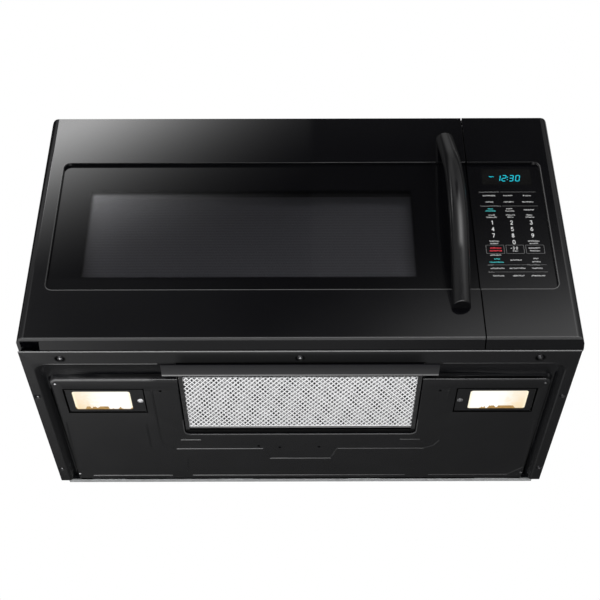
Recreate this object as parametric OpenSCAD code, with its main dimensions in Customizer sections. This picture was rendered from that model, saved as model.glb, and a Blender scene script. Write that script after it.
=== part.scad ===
/* [Front] */
// Width of the door and the control panel together
front_w = 759; // [750:1:770]
// Height of the front's top edge above the underside of the base
face_top = 419; // [412:1:424]
// Height of the crease between the front and the sloping chin
chin_top = 10.2; // [9.5:0.1:11]
// Distance that the chin slopes back
chin_depth = 17; // [15:0.5:17]
// Height of the chin's lower edge above the base
chin_low = 2.4; // [2:0.1:3]
// Radius of the upright edges at the two sides
edge_r = 11; // [8:0.5:11]
// Radius of the front's top corners
corner_r = 6; // [3:0.5:8]
// Place of the seam between the door and the control panel
seam_x = 247.8; // [244:0.2:252]
// Width of the seam
seam_gap = 1.6; // [1.2:0.1:2.4]
// Wall of the mouldings of the door and the panel
moulding_t = 3; // [2.5:0.1:3.5]
// Depth of the shallow field that crosses the door and the panel
field_depth = 5.5; // [3:0.5:6.5]
// Distance from the door's left side to the field
field_left = 29.5; // [24:0.5:39]
// Distance from the panel's right side to the field
field_right = 23.5; // [18:0.5:29]
// Lower edge of the field
field_z0 = 91; // [86:1:95]
// Distance from the front's top edge to the field
field_drop = 92; // [85:1:99]
// Corner radius of the field
field_r = 10; // [6:1:12]

/* [Case] */
// How far the case stands in from the front at each side
case_inset = 1.5; // [1:0.5:2.5]
// Height of the vent grille above the front's top edge
grille_rise = 11; // [10:0.5:13]
// Distance from the front plane to the case's front plate
case_front = 50; // [50:0.5:52]
// Distance from the front plane to the back of the case
case_rear = 380; // [376:1:386]
// Thickness of the sheet metal
sheet = 1.2; // [1:0.1:1.4]
// Distance from the case's back to the wall
wall_gap = 8; // [7:0.5:10]

/* [Base] */
// Distance from the front plane to the base pan's front edge
pan_front = 17.4; // [16:0.2:19]
// Width of the flat rim along each side of the base pan
rim_w = 16.4; // [15:0.2:17.6]
// Depth of the channel pressed into the base pan
channel_depth = 10; // [8:0.5:10.5]
// Width of the channel at the sides
channel_side = 12.8; // [11:0.2:14]
// Width of the channel at the front
channel_front = 41; // [39:1:43]
// Corner radius of the channel
channel_r = 18; // [14:1:22]
// Height of the base's middle field above the rim
field_up = 3; // [2.5:0.1:3.5]
// Width of the filter opening
opening_w = 342; // [338:1:344]
// Rear edge of the filter opening
opening_rear = 241; // [240:1:246]
// Width of the lip ahead of the filter
lip_w = 381; // [374:1:388]
// Rear edge of the lip
lip_rear = 77.6; // [76.6:0.2:78.6]
// Width of the raised beads on the base
bead_w = 3; // [2:0.5:4]

/* [Grease filter] */
// Clearance between the filter and the opening
filter_gap = 2; // [1.5:0.5:3]
// Thickness of the filter
filter_t = 8; // [7:0.5:9]
// Width of the filter's rails
filter_rail = 6; // [5:0.5:7]
// Thickness of the filter's pressed mesh
mesh_t = 2.6; // [2:0.2:4]
// Rear edge of the filter
filter_rear = 233; // [229:1:236]
// Length of the filter that lies over the lip
filter_over = 8; // [6:0.5:9]

/* [Lamps] */
// Distance from the case's side to the lamp cover
lamp_side = 46.3; // [43:0.1:50]
// Length of a lamp cover
lamp_len = 110; // [106:1:112]
// Width of a lamp cover
lamp_w = 59.6; // [56:0.2:62]
// Front edge of the lamp covers
lamp_front = 116.4; // [114:0.2:119]
// Height of a lamp housing
lamp_h = 42; // [38:1:44]

/* [Oven cavity] */
// Width inside the oven
cavity_w = 522; // [515:1:525]
// Left inner wall of the oven
cavity_x0 = -330.5; // [-333:0.5:-328]
// Height of the oven floor
cavity_z0 = 56; // [54:0.5:58]
// Height of the vent space above the oven
vent_h = 118; // [116:1:124]
// Depth inside the oven
cavity_d = 318; // [312:1:320]
// Diameter of the glass tray
tray_d = 305; // [296:1:308]
// Radius on which the rollers run
roller_track = 115; // [110:1:120]
// Radius of a roller
roller_r = 9; // [8:0.5:10]

/* [Handle] */
// Place of the handle across the front
handle_x = 218.5; // [215:0.5:221]
// How far the handle runs on below the field
handle_low = 33; // [30:1:37]
// How far the handle runs on above the field
handle_high = 45; // [41:1:48]
// Diameter of the handle
handle_d = 26; // [24:0.5:28]
// How far the handle's middle line stands out from the front
handle_out = 57.5; // [54:0.5:61]
// How far the ends of that line stand out from the front
handle_end = 2; // [1:0.5:4]
// Slope of the handle's straight ends
handle_slope = 26.5; // [25:0.5:28]

/* [Hinge and latch] */
// Distance from the door's left side to the hinge
hinge_in = 13.5; // [13:0.5:14.5]
// Distance from the front plane to the hinge
hinge_back = 34; // [33:0.5:34.5]
// Diameter of the hinge pins
pin_d = 6; // [5:0.5:7]
// Place of the latch hooks across the door
latch_x = 222; // [219:0.5:225]
// Thickness of the latch bar and its hooks
latch_t = 8; // [6:0.5:9]
// Travel of the latch bar
latch_travel = 4; // [3:0.5:5]

/* [Fans] */
// Radius of the blower wheels
wheel_r = 46; // [42:1:47]
// Length of one blower wheel
wheel_len = 78; // [70:1:80]
// Number of blades on one blower wheel
wheel_blades = 24; // [16:1:30]
// Radius of the cooling fan
fan_r = 48; // [44:1:50]

/* [Top] */
// Length of the exhaust outlet
outlet_w = 254; // [250:1:258]
// Width of the exhaust outlet
outlet_d = 82.5; // [80:0.5:84]
// Distance between the two cabinet bolts
bolt_span = 660; // [640:5:680]
// Diameter of the cabinet bolt holes
bolt_d = 6.6; // [6:0.1:7]
// Distance of the cabinet bolts from the wall
bolt_back = 222; // [215:1:235]
// Diameter of the power cord hole in the grommet
cord_d = 10; // [8:0.5:12]

/* [Hidden] */
$fn = 48;
gap = 0.3;
fit = 0.08;
eps = 0.01;
case_h = face_top + grille_rise;
half_w = front_w / 2;
cavity_h = case_h - vent_h - cavity_z0;
field_x0 = field_left - half_w;
field_x1 = half_w - field_right;
field_z1 = face_top - field_drop;
case_x = half_w - case_inset;
wall_y = case_rear + wall_gap;
handle_r = handle_d / 2;
depth_front = handle_out + handle_r;
y_shift = -(wall_y - depth_front) / 2;
standoff = 3;
flange_z = standoff + sheet;
underside = 7;
panel_x0 = seam_x + seam_gap / 2;
door_x1 = seam_x - seam_gap / 2;
glass_t = 4;
overlay_t = 2;
shell_back = case_front - 4;
door_back = case_front - 0.5;
hinge_x = -half_w + hinge_in;
hinge_r = door_back - hinge_back;
pin_r = pin_d / 2;
notch_x = hinge_x + 17.5;
notch_z = chin_top - 1.2;
top_notch_z = face_top - 8;
window = [field_x0 + 47.7, seam_x - 85.1, field_z0 + 25.2, field_z1 - 54.1];
panel_w = half_w - panel_x0;
display_x = [panel_x0 + 0.155 * panel_w, panel_x0 + 0.714 * panel_w];
display_z = [field_z1 - 39.3, field_z1 - 8.4];
board_x = [panel_x0 + 0.102 * panel_w, half_w - 0.134 * panel_w];
board_z = [field_z0 - 29, field_z1 + 17];
board_bolt_x = [board_x[0] + 8, board_x[1] - 8];
board_bolt_z = [board_z[0] + 8, board_z[1] - 8];
rim_in = case_x - rim_w;
field_x = rim_in - channel_side;
field_y = case_front + channel_front;
field_top = field_up + sheet;
opening_x = opening_w / 2;
filter_x = opening_x - filter_gap;
lip_front = case_front + 0.4;
filter_front = lip_rear - filter_over;
filter_z = sheet + gap;
lamp_out = case_x - lamp_side;
lamp_in = lamp_out - lamp_len;
lamp_rear = lamp_front + lamp_w;
lamp_y = (lamp_front + lamp_rear) / 2;
cavity_x1 = cavity_x0 + cavity_w;
cavity_z1 = cavity_z0 + cavity_h;
cavity_y1 = case_front + cavity_d;
tray_x = (cavity_x0 + cavity_x1) / 2;
tray_y = case_front + cavity_d / 2;
wheel_z = cavity_z0 + gap + roller_r;
tray_z = wheel_z + roller_r + gap;
handle_z0 = field_z0 - handle_low;
handle_len = field_z1 + handle_high - handle_z0;
half_bow = handle_len / 2;
handle_z = handle_z0 + handle_len / 2;
handle_rise = handle_out - handle_end;
bow_end = (handle_rise - half_bow * (1 - cos(handle_slope)) / sin(handle_slope))
    / (sin(handle_slope) - cos(handle_slope) * (1 - cos(handle_slope)) / sin(handle_slope));
bow_r = (half_bow - bow_end * cos(handle_slope)) / sin(handle_slope);
bow_sides = 32;
bow_steps = 14;
bolt_in = 11;
handle_bolt_z = [handle_z0 + bolt_in, handle_z0 + handle_len - bolt_in];
latch_low = cavity_z0 + 28;
latch_high = cavity_z1 + 22;
latch_span = [latch_x - latch_t / 2, latch_x + latch_t / 2];
latch_wall = case_front + sheet + 3;
lever_y = case_front + 36;
lever_z = latch_high - 6;
hook_h = 12;
hook_len = 26;
bay_x0 = cavity_x1 + sheet;
bay_x1 = case_x - sheet;
tab_x = [case_x - 277, case_x - 77];
hook_x = case_x - 128;
hook_z = case_h - 69;
blower_y = case_rear - sheet - 8 - wheel_r - 12;
blower_z = (cavity_z1 + sheet + case_h - sheet) / 2;
motor_half = 34;
blower_half = outlet_w / 2 + 4;
grille_rear = 130;
grille_t = 3;
outlet_y = case_rear - 18 - outlet_d / 2;
bolt_y = wall_y - bolt_back;
cord_x = 300;
cord_y = case_rear - 50;
fan_x = (bay_x0 + bay_x1) / 2;
fan_z = 240;
fan_back = case_rear - sheet;
magnetron_z = 205;
magnetron_y = 250;
front_screws = [[-324, 34.5], [0, 34.5], [324, 34.5]];
side_screws = [[case_x - rim_w / 2 + 1, 131], [case_x - rim_w / 2 + 1, 342]];
inner_screws = [[field_x - 7, 100], [field_x - 3, 361]];

// Shapes shared by the parts. Lengths along Y are counted from the front plane.

module placed() translate([0, y_shift, 0]) children();

module slab(x, y, z) translate([x[0], y[0], z[0]]) cube([x[1] - x[0], y[1] - y[0], z[1] - z[0]]);

module rounded(x, y, r) {
    translate([x[0] + r, y[0]]) square([x[1] - x[0] - 2 * r, y[1] - y[0]]);
    translate([x[0], y[0] + r]) square([x[1] - x[0], y[1] - y[0] - 2 * r]);
    for (px = [x[0] + r, x[1] - r], py = [y[0] + r, y[1] - r]) translate([px, py]) circle(r);
}

// A rounded rectangle in plan, raised from z[0] to z[1]
module pad(x, y, z, r) translate([0, 0, z[0]]) linear_extrude(z[1] - z[0]) rounded(x, y, r);

// A slot with round ends, centred at x, y and running along X
module slot(x, y, len, w, z) translate([x, y, z[0]]) linear_extrude(z[1] - z[0]) {
    square([len - w, w], center = true);
    for (k = [-1, 1]) translate([k * (len - w) / 2, 0]) circle(w / 2);
}

// A rounded rectangle in the front view, run back from y[0] to y[1]
module tile(x, y, z, r) translate([0, y[1], 0]) rotate([90, 0, 0])
    linear_extrude(y[1] - y[0]) rounded(x, z, r);

module rod_z(x, y, z, r) translate([x, y, z[0]]) cylinder(h = z[1] - z[0], r = r);

module rod_y(x, y, z, r) translate([x, y[1], z]) rotate([90, 0, 0]) cylinder(h = y[1] - y[0], r = r);

module rod_x(x, y, z, r) translate([x[0], y, z]) rotate([0, 90, 0]) cylinder(h = x[1] - x[0], r = r);

module both() {
    children();
    mirror([1, 0, 0]) children();
}

// Side profile of the front: the face, the chin and the raised underside
module front_profile(inset, back) polygon([[inset, face_top - inset], [inset, chin_top + inset],
    [chin_depth + inset, chin_low + inset], [pan_front + 5, chin_low + inset],
    [pan_front + 5 + inset, underside + inset], [back, underside + inset], [back, face_top - inset]]);

// The front's side profile, run across from x[0] to x[1]
module front_bar(x, inset, back) translate([x[0], 0, 0]) rotate([90, 0, 90])
    linear_extrude(x[1] - x[0]) front_profile(inset, back);

// The shallow field in the front, deepened by more
module field_cut(more) tile([field_x0, field_x1], [-1, field_depth + more], [field_z0, field_z1], field_r);

// Plan of the door, with the side round the hinge inside its turning circle
module door_plan(inset, back) {
    translate([hinge_x, inset + edge_r]) square([door_x1 - inset - hinge_x, back - inset - edge_r]);
    translate([-half_w + edge_r, inset]) square([door_x1 - inset + half_w - edge_r, edge_r]);
    translate([-half_w + inset, edge_r]) square([edge_r + hinge_in, hinge_back - edge_r]);
    translate([-half_w + edge_r, edge_r]) circle(edge_r - inset);
    intersection() {
        translate([hinge_x, hinge_back]) circle(hinge_r - inset);
        translate([-half_w + inset, 0]) square([hinge_in + hinge_r, back]);
    }
}

module door_block(inset, back) intersection() {
    linear_extrude(case_h) door_plan(inset, back);
    front_bar([-half_w, door_x1], inset, back);
    tile([-half_w + inset, half_w], [0, back + 1], [-20, face_top - inset], corner_r - inset / 3);
}

module panel_plan(inset, back) {
    translate([panel_x0 + inset, inset]) square([half_w - edge_r - panel_x0 - inset, back - inset]);
    translate([panel_x0 + inset, edge_r]) square([half_w - inset - panel_x0 - inset, back - edge_r]);
    translate([half_w - edge_r, edge_r]) circle(edge_r - inset);
}

module panel_block(inset, back) intersection() {
    linear_extrude(case_h) panel_plan(inset, back);
    front_bar([panel_x0, half_w], inset, back);
    tile([-half_w, half_w - inset], [0, back + 1], [-20, face_top - inset], corner_r - inset / 3);
}

// A pan head screw whose head hangs below z = 0 and whose shank points up
module screw(head_r, head_h, len, r) {
    difference() {
        translate([0, 0, -head_h]) cylinder(h = head_h, r1 = head_r * 0.72, r2 = head_r);
        for (a = [0, 90]) rotate(a) translate([-head_r * 0.5, -head_r * 0.1, -head_h - 1])
            cube([head_r, head_r * 0.2, 1 + head_h * 0.5]);
    }
    cylinder(h = len, r = r);
}

// Case

module cover_sides() placed() color("#18181b") difference() {
    both() {
        slab([case_x - sheet, case_x], [case_front, case_rear], [sheet, case_h - sheet]);
        slab([rim_in + 2, case_x], [case_front + 6, case_rear - sheet - 1], [standoff, flange_z]);
    }
    for (s = side_screws, k = [-1, 1]) rod_z(k * s[0], s[1], [0, flange_z + 1], 1.9);
}

module cover_top() placed() color("#18181b") difference() {
    slab([-case_x, case_x], [grille_rear, case_rear], [case_h - sheet, case_h]);
    slab([-outlet_w / 2, outlet_w / 2], [outlet_y - outlet_d / 2, outlet_y + outlet_d / 2],
        [case_h - 5, case_h + 1]);
    for (x = [-bolt_span / 2, bolt_span / 2]) rod_z(x, bolt_y, [case_h - 5, case_h + 1], bolt_d / 2);
    rod_z(cord_x, cord_y, [case_h - 5, case_h + 1], cord_d / 2 + 4);
}

module rear_panel() placed() color("#a9abad") difference() {
    slab([-case_x + sheet, case_x - sheet], [case_rear - sheet, case_rear], [14, case_h - sheet]);
    for (i = [0:5], j = [0:2]) tile([fan_x - 42 + i * 15, fan_x - 36 + i * 15],
        [case_rear - 5, case_rear + 1], [fan_z - 36 + j * 26, fan_z - 18 + j * 26], 2.9);
    for (x = [-hook_x, hook_x])
        tile([x - 15, x + 15], [case_rear - 5, case_rear + 1], [hook_z - 1, hook_z + 7], 3);
}

// The base pan's outline at its channel (grow = 0) and at its middle field
module channel_outline(grow) rounded([-rim_in - grow, rim_in + grow],
    [case_front - grow, case_rear + 60], channel_r + grow);

module field_outline(grow) rounded([-field_x - grow, field_x + grow],
    [field_y - grow, case_rear + 60], channel_r * 0.5 + grow);

module slope(z0, z1) hull() {
    translate([0, 0, z0]) linear_extrude(eps, $fn = 32) children(0);
    translate([0, 0, z1 - eps]) linear_extrude(eps, $fn = 32) children(1);
}

// A raised bead of the base between two points, pressed up from below
module bead(a, b) {
    v = b - a;
    translate([a[0], a[1], field_up - 0.7]) rotate(atan2(v[1], v[0])) {
        translate([0, -bead_w / 2, 0]) cube([norm(v), bead_w, 0.8]);
        for (x = [0, norm(v)]) translate([x, 0, 0]) cylinder(h = 0.8, r = bead_w / 2);
    }
}

module bead_line(pts) for (i = [0:len(pts) - 2]) bead(pts[i], pts[i + 1]);

module base_beads() {
    both() {
        bead_line([[field_x - 6, 204], [field_x - 2, 345], [field_x - 24, 368], [202, 368]]);
        bead_line([[lamp_in + 4.3, 210], [lamp_in + 4.3, 278]]);
        bead_line([[lamp_in - 12.7, 120], [lamp_in - 12.7, 260], [lamp_in - 19.7, 275],
            [lamp_in - 34.7, 284], [56, 284], [46, 310], [0, 310]]);
        bead_line([[150, 257], [178, 257]]);
        bead_line([[172, 305], [176, 355]]);
    }
    bead_line([[-168, 368], [163, 368]]);
}

module pan_shell() difference() {
    union() {
        difference() {
            union() {
                slab([-case_x, case_x], [pan_front, case_rear], [0, sheet]);
                slope(0, channel_depth + sheet) {
                    channel_outline(sheet);
                    channel_outline(sheet - 8);
                }
            }
            slope(-eps, channel_depth) {
                channel_outline(0);
                channel_outline(-8);
            }
        }
        slope(field_up, channel_depth + sheet) {
            field_outline(0);
            field_outline(3);
        }
    }
    slope(field_up + sheet, channel_depth + sheet + eps) {
        field_outline(-sheet);
        field_outline(3 - sheet);
    }
}

module base_pan() placed() color("#1f1f22") difference() {
    union() {
        intersection() {
            pan_shell();
            slab([-case_x, case_x], [pan_front, case_rear], [-1, 30]);
        }
        slab([-field_x + 2, field_x - 2], [case_rear - sheet, case_rear], [field_up, 14]);
        base_beads();
        for (s = front_screws) rod_z(s[0], s[1], [0, standoff], 8);
        for (s = side_screws, k = [-1, 1]) rod_z(k * s[0], s[1], [0, standoff], 5.4);
        pad([-opening_x - sheet, opening_x + sheet], [lip_rear + 2, opening_rear + sheet],
            [field_up, 13], 9 + sheet);
    }
    pad([-opening_x, opening_x], [case_front - 6, opening_rear], [-1, 20], 9);
    slab([-opening_x - sheet - 1, opening_x + sheet + 1], [case_front - 1, lip_rear + 6],
        [field_up + 3, 20]);
    slab([-lip_w / 2 - gap, lip_w / 2 + gap], [case_front - 4 - sheet - gap, lip_rear + gap],
        [-1, sheet + gap]);
    for (s = front_screws) {
        rod_z(s[0], s[1], [-1, standoff - sheet], 7);
        rod_z(s[0], s[1], [-1, 20], 2.2);
    }
    for (s = side_screws, k = [-1, 1]) {
        rod_z(k * s[0], s[1], [-1, standoff - sheet], 4.4);
        rod_z(k * s[0], s[1], [-1, 20], 1.9);
    }
    for (s = inner_screws, k = [-1, 1]) rod_z(k * s[0], s[1], [-1, 20], 1.9);
    both() pad([lamp_in - gap, lamp_out + gap], [lamp_front - gap, lamp_rear + gap], [-1, 20], 3);
    for (p = [[-197, 120], [197, 120], [-63, 276], [-31, 280], [28, 279]]) rod_z(p[0], p[1], [-1, 20], 1.6);
}

module filter_lip() placed() color("#232326") difference() {
    union() {
        slab([-lip_w / 2, lip_w / 2], [lip_front, lip_rear], [0, sheet]);
        slab([-opening_x + 2, opening_x - 2], [lip_front, lip_front + sheet], [0, 2 * sheet]);
        slab([-opening_x + 2, opening_x - 2], [pan_front + 8, lip_front + sheet], [sheet, 2 * sheet]);
    }
    for (s = front_screws) rod_z(s[0], s[1], [-1, 5], 8.4);
}

module cavity() placed() color("#c9c7c0") difference() {
    union() {
        tile([cavity_x0 - sheet, cavity_x1 + sheet], [case_front + sheet, cavity_y1 + sheet],
            [cavity_z0 - sheet, cavity_z1 + sheet], 13.2);
        rod_z(tray_x, tray_y, [cavity_z0 - sheet - 3, cavity_z0], 24);
        slab([tray_x - 60, tray_x + 60], [cavity_y1, case_rear - sheet], [cavity_z1 - 40, cavity_z1 - 38]);
        slab([tray_x - 60, tray_x + 60], [cavity_y1, case_rear - sheet], [cavity_z0 + 30, cavity_z0 + 32]);
        both_feet();
    }
    tile([cavity_x0, cavity_x1], [case_front - 1, cavity_y1], [cavity_z0, cavity_z1], 12);
    rod_z(tray_x, tray_y, [cavity_z0 - 20, cavity_z0 + 1], 9);
    slab([cavity_x1 - 1, cavity_x1 + 5], [magnetron_y - 36, magnetron_y + 36],
        [magnetron_z - 32, magnetron_z + 32]);
    for (i = [0:7], j = [0:2])
        rod_x([cavity_x0 - 5, cavity_x0 + 1], case_front + 60 + i * 9, cavity_z1 - 50 + j * 9, 2.4);
    for (i = [0:4], j = [0:2])
        rod_z(cavity_x0 + 60 + i * 8, case_front + 40 + j * 8, [cavity_z1 - 1, cavity_z1 + 5], 2);
}

// Folded feet that carry the oven on the base's middle field
module both_feet() for (x = [cavity_x0 + 8, cavity_x1 - 8], y = [cavity_y1 - 80, cavity_y1 - 20])
    slab([x - 10, x + 10], [y, y + sheet], [field_top, cavity_z0 - sheet + eps]);

module front_frame() placed() color("#2a2a2d") difference() {
    union() {
        slab([-case_x + sheet, case_x - sheet], [case_front, case_front + sheet],
            [standoff + 0.8, case_h - grille_t]);
        slab([notch_x + 4, case_x - sheet], [pan_front + 6.5, case_front + eps], [standoff, flange_z]);
    }
    tile([cavity_x0, cavity_x1], [case_front - 1, case_front + 5], [cavity_z0, cavity_z1], 12);
    slab([panel_x0 + 8, case_x - 12], [case_front - 1, case_front + 5], [40, face_top - 20]);
    for (z = [latch_low, latch_high]) slab([latch_x - latch_t / 2 - 2.5, latch_x + latch_t / 2 + 2.5],
        [case_front - 1, case_front + 5], [z - 8, z + hook_h + latch_travel + 2]);
    slab([-case_x, notch_x + 2], [case_front - 1, case_front + 5], [0, 8]);
    slab([-case_x, notch_x + 2], [case_front - 1, case_front + 5], [top_notch_z - 1, top_notch_z + 6]);
    for (s = front_screws) rod_z(s[0], s[1], [0, 9], 1.9);
    for (i = [-5:5])
        slab([i * 60 - 24, i * 60 + 24], [case_front - 1, case_front + 5], [cavity_z1 + 50, cavity_z1 + 70]);
}

// Microwave and power parts

module waveguide() placed() color("#b5b7b8") difference() {
    slab([bay_x0, bay_x0 + 40], [magnetron_y - 50, magnetron_y + 50], [magnetron_z - 40, magnetron_z + 40]);
    slab([bay_x0 - 1, bay_x0 + 40 - sheet], [magnetron_y - 50 + sheet, magnetron_y + 50 - sheet],
        [magnetron_z - 40 + sheet, magnetron_z + 40 - sheet]);
    rod_x([bay_x0 + 30, bay_x0 + 41], magnetron_y, magnetron_z, 14);
}

module waveguide_cover() placed() color("#cfc4a4")
    tile_x([cavity_x1 - 1.2, cavity_x1], [magnetron_y - 44, magnetron_y + 44],
        [magnetron_z - 40, magnetron_z + 40], 6);

// A rounded rectangle in the side view, run across from x[0] to x[1]
module tile_x(x, y, z, r) translate([x[0], 0, 0]) rotate([90, 0, 90])
    linear_extrude(x[1] - x[0]) rounded(y, z, r);

module magnetron() placed() color("#b9bbbd") {
    x = bay_x0 + 40;
    rod_x([x - 26, x + 2], magnetron_y, magnetron_z, 9);
    slab([x, x + 3], [magnetron_y - 42, magnetron_y + 42], [magnetron_z - 34, magnetron_z + 34]);
    rod_x([x + 2, x + 72], magnetron_y, magnetron_z, 20);
    for (i = [0:8]) slab([x + 9 + i * 5.5, x + 10.2 + i * 5.5], [magnetron_y - 40, magnetron_y + 40],
        [magnetron_z - 30, magnetron_z + 30]);
    slab([x + 58, x + 74], [magnetron_y - 42, magnetron_y + 42], [magnetron_z - 34, magnetron_z + 34]);
    slab([x + 72, x + 92], [magnetron_y - 18, magnetron_y + 18], [magnetron_z - 20, magnetron_z + 12]);
}

module hv_transformer() placed() color("#8f8b84") translate([fan_x, 252, field_top]) difference() {
    union() {
        slab([-46, 46], [-38, 38], [0, 78]);
        slab([-38, 38], [-48, 48], [16, 62]);
        slab([-58, 58], [-42, 42], [0, 3]);
    }
    for (x = [-53, 53], y = [-34, 34]) rod_z(x, y, [-1, 4], 2.5);
}

module hv_capacitor() placed() color("#a8abae") translate([fan_x, 326, field_top]) {
    pad([3, 55], [-16, 16], [0, 94], 15);
    for (x = [17, 41]) slab([x - 3, x + 3], [-0.4, 0.4], [93, 104]);
}

module fan_bracket() placed() color("#a9abad") difference() {
    union() {
        tile([bay_x0 + 8, bay_x1 - 8], [fan_back - 34, fan_back], [fan_z - 62, fan_z + 62], 10);
    }
    rod_y(fan_x, [fan_back - 40, fan_back + 1], fan_z, fan_r + 2.5);
    difference() {
        tile([bay_x0 + 10, bay_x1 - 10], [fan_back - 35, fan_back - 2], [fan_z - 60, fan_z + 60], 8);
        rod_y(fan_x, [fan_back - 36, fan_back], fan_z, fan_r + 4.5);
    }
}

module fan_motor() placed() color("#6e7074") {
    rod_y(fan_x, [fan_back - 62, fan_back - 36], fan_z, 18);
    rod_y(fan_x, [fan_back - 36 - eps, fan_back - 12], fan_z, 2.5);
    for (a = [0:120:240]) translate([fan_x, 0, fan_z]) rotate([0, a + 30, 0])
        slab([12, fan_r + 8], [fan_back - 38, fan_back - 34], [-3, 3]);
}

module fan_blade() placed() color("#e2e2dd") difference() {
    union() {
        rod_y(fan_x, [fan_back - 30, fan_back - 8], fan_z, 13);
        for (a = [0:60:300]) translate([fan_x, fan_back - 19, fan_z]) rotate([0, a, 0])
            translate([fan_r / 2 + 5, 0, 0]) rotate([32, 0, 0]) cube([fan_r - 10, 2, 26], center = true);
    }
    rod_y(fan_x, [fan_back - 40, fan_back - 11], fan_z, 2.5 + fit);
    difference() {
        rod_y(fan_x, [fan_back - 40, fan_back + 2], fan_z, fan_r + 30);
        rod_y(fan_x, [fan_back - 41, fan_back + 3], fan_z, fan_r);
    }
}

// Vent blower, filter and grille

module blower_housing() placed() color("#b0b2b4") difference() {
    slab([-blower_half, blower_half], [blower_y - wheel_r - 12, case_rear - sheet],
        [cavity_z1 + sheet, case_h - sheet]);
    slab([-blower_half + sheet, blower_half - sheet], [blower_y - wheel_r - 13, case_rear - 2 * sheet],
        [cavity_z1 + 2 * sheet, case_h - 2 * sheet]);
    slab([-outlet_w / 2, outlet_w / 2], [outlet_y - outlet_d / 2, outlet_y + outlet_d / 2],
        [case_h - 6, case_h]);
    both() rod_x([blower_half - 5, blower_half + 1], blower_y, blower_z, wheel_r - 8);
}

module blower_motor() placed() color("#77797c") {
    rod_x([-motor_half, motor_half], blower_y, blower_z, 36);
    slab([-motor_half + 8, motor_half - 8], [blower_y - 28, blower_y + 28],
        [cavity_z1 + 2 * sheet, blower_z]);
}

module blower_wheel() difference() {
    union() {
        cylinder(h = 2.5, r = wheel_r);
        translate([0, 0, wheel_len - 3]) cylinder(h = 3, r = wheel_r);
        cylinder(h = 20, r = 9);
        for (i = [0:wheel_blades - 1]) rotate(i * 360 / wheel_blades)
            translate([wheel_r - 6, 0, 1]) rotate(38) translate([-5, -0.6, 0])
                cube([10, 1.2, wheel_len - 2]);
    }
    translate([0, 0, wheel_len - 4]) cylinder(h = 5, r = wheel_r - 9);
    difference() {
        translate([0, 0, -1]) cylinder(h = wheel_len + 2, r = wheel_r + 20);
        translate([0, 0, -2]) cylinder(h = wheel_len + 4, r = wheel_r);
    }
    translate([0, 0, -1]) cylinder(h = 30, r = 4 + eps);
}

module blower_wheels() placed() color("#d9d9d4") {
    for (k = [-1, 1]) translate([k * (motor_half + 6), blower_y, blower_z]) rotate([0, k * 90, 0]) {
        blower_wheel();
        translate([0, 0, -6 + gap]) cylinder(h = 26, r = 4 + 2 * eps);
    }
}

module vent_grille() placed() color("#1a1a1c") difference() {
    translate([-case_x + 2, 0, 0]) rotate([90, 0, 90]) linear_extrude(2 * case_x - 4) polygon([
        [12, face_top + 1.5], [12, case_h - 4], [17, case_h], [grille_rear, case_h],
        [grille_rear, case_h - grille_t], [18, case_h - grille_t], [14.5, case_h - 6],
        [14.5, face_top + 1.5]]);
    for (i = [-6:6], y = [26, 38, 62, 77, 92, 107]) slot(i * 54, y, 44, 6, [case_h - 9, case_h + 1]);
}

module charcoal_filter() placed() color("#3a3a3c") difference() {
    pad([-150, 150], [case_front + 6, grille_rear - 6], [case_h - grille_t - 10, case_h - grille_t], 4);
    pad([-144, 144], [case_front + 12, grille_rear - 12], [case_h - grille_t - 3, case_h], 2);
}

// Front panel

module control_housing() placed() color("#0f0f11") difference() {
    union() {
        difference() {
            panel_block(0, case_front);
            panel_block(moulding_t, case_front + 10);
        }
        intersection() {
            panel_block(0, case_front);
            field_wall();
        }
        for (x = board_bolt_x, z = board_bolt_z) rod_y(x, [moulding_t, 30], z, 4);
        for (z = [30, face_top - 24]) rod_y(panel_x0 + 12, [moulding_t, case_front], z, 5);
    }
    field_cut(overlay_t);
    tile(display_x, [0, 20], display_z, 2);
    for (x = board_bolt_x, z = board_bolt_z) rod_y(x, [20, 31], z, 1.3);
}

// The wall behind the shallow field
module field_wall() tile([field_x0 - moulding_t, field_x1 + moulding_t],
    [0, field_depth + glass_t + moulding_t],
    [field_z0 - moulding_t, field_z1 + moulding_t], field_r + moulding_t);

module control_overlay() placed() color("#141416") intersection() {
    tile([field_x0, field_x1], [field_depth, field_depth + overlay_t], [field_z0, field_z1], field_r);
    slab([panel_x0, half_w], [0, 30], [0, case_h]);
}

module display_module() placed() color("#0d2b30") {
    y = field_depth + overlay_t;
    tile([display_x[0] + gap, display_x[1] - gap], [y, y + 8],
        [display_z[0] + gap, display_z[1] - gap], 2 - gap);
    slab([display_x[0] - 4, display_x[1] + 4], [y + glass_t + moulding_t, 30],
        [display_z[0] - 3, display_z[1] + 3]);
}

module control_board() placed() color("#2e5a34") {
    x = board_x[0];
    z = board_z[0];
    difference() {
        slab(board_x, [30, 31.6], board_z);
        for (x = board_bolt_x, z = board_bolt_z) rod_y(x, [29, 33], z, 1.6);
    }
    slab([x + 18, x + 54], [31.6, 47], [z + 28, z + 68]);
    slab([x + 62, x + 80], [31.6, 44], [z + 34, z + 56]);
    for (k = [88, 106, 124]) slab([x + 22, x + 40], [31.6, 46], [z + k, z + k + 14]);
    slab([x + 36, x + 78], [31.6, 36], [z + 158, z + 174]);
    rod_y(x + 70, [31.6, 46], z + 88, 8);
}

// Oven inside

module turntable_motor() placed() color("#9fa1a3") {
    rod_z(tray_x, tray_y, [cavity_z0 - sheet - 3 - 18, cavity_z0 - sheet - 3], 25);
    rod_z(tray_x, tray_y, [cavity_z0 - sheet - 3, cavity_z0 + 10], 3.5);
    slab([tray_x - 34, tray_x + 34], [tray_y - 6, tray_y + 6],
        [cavity_z0 - sheet - 5, cavity_z0 - sheet - 3]);
}

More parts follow.
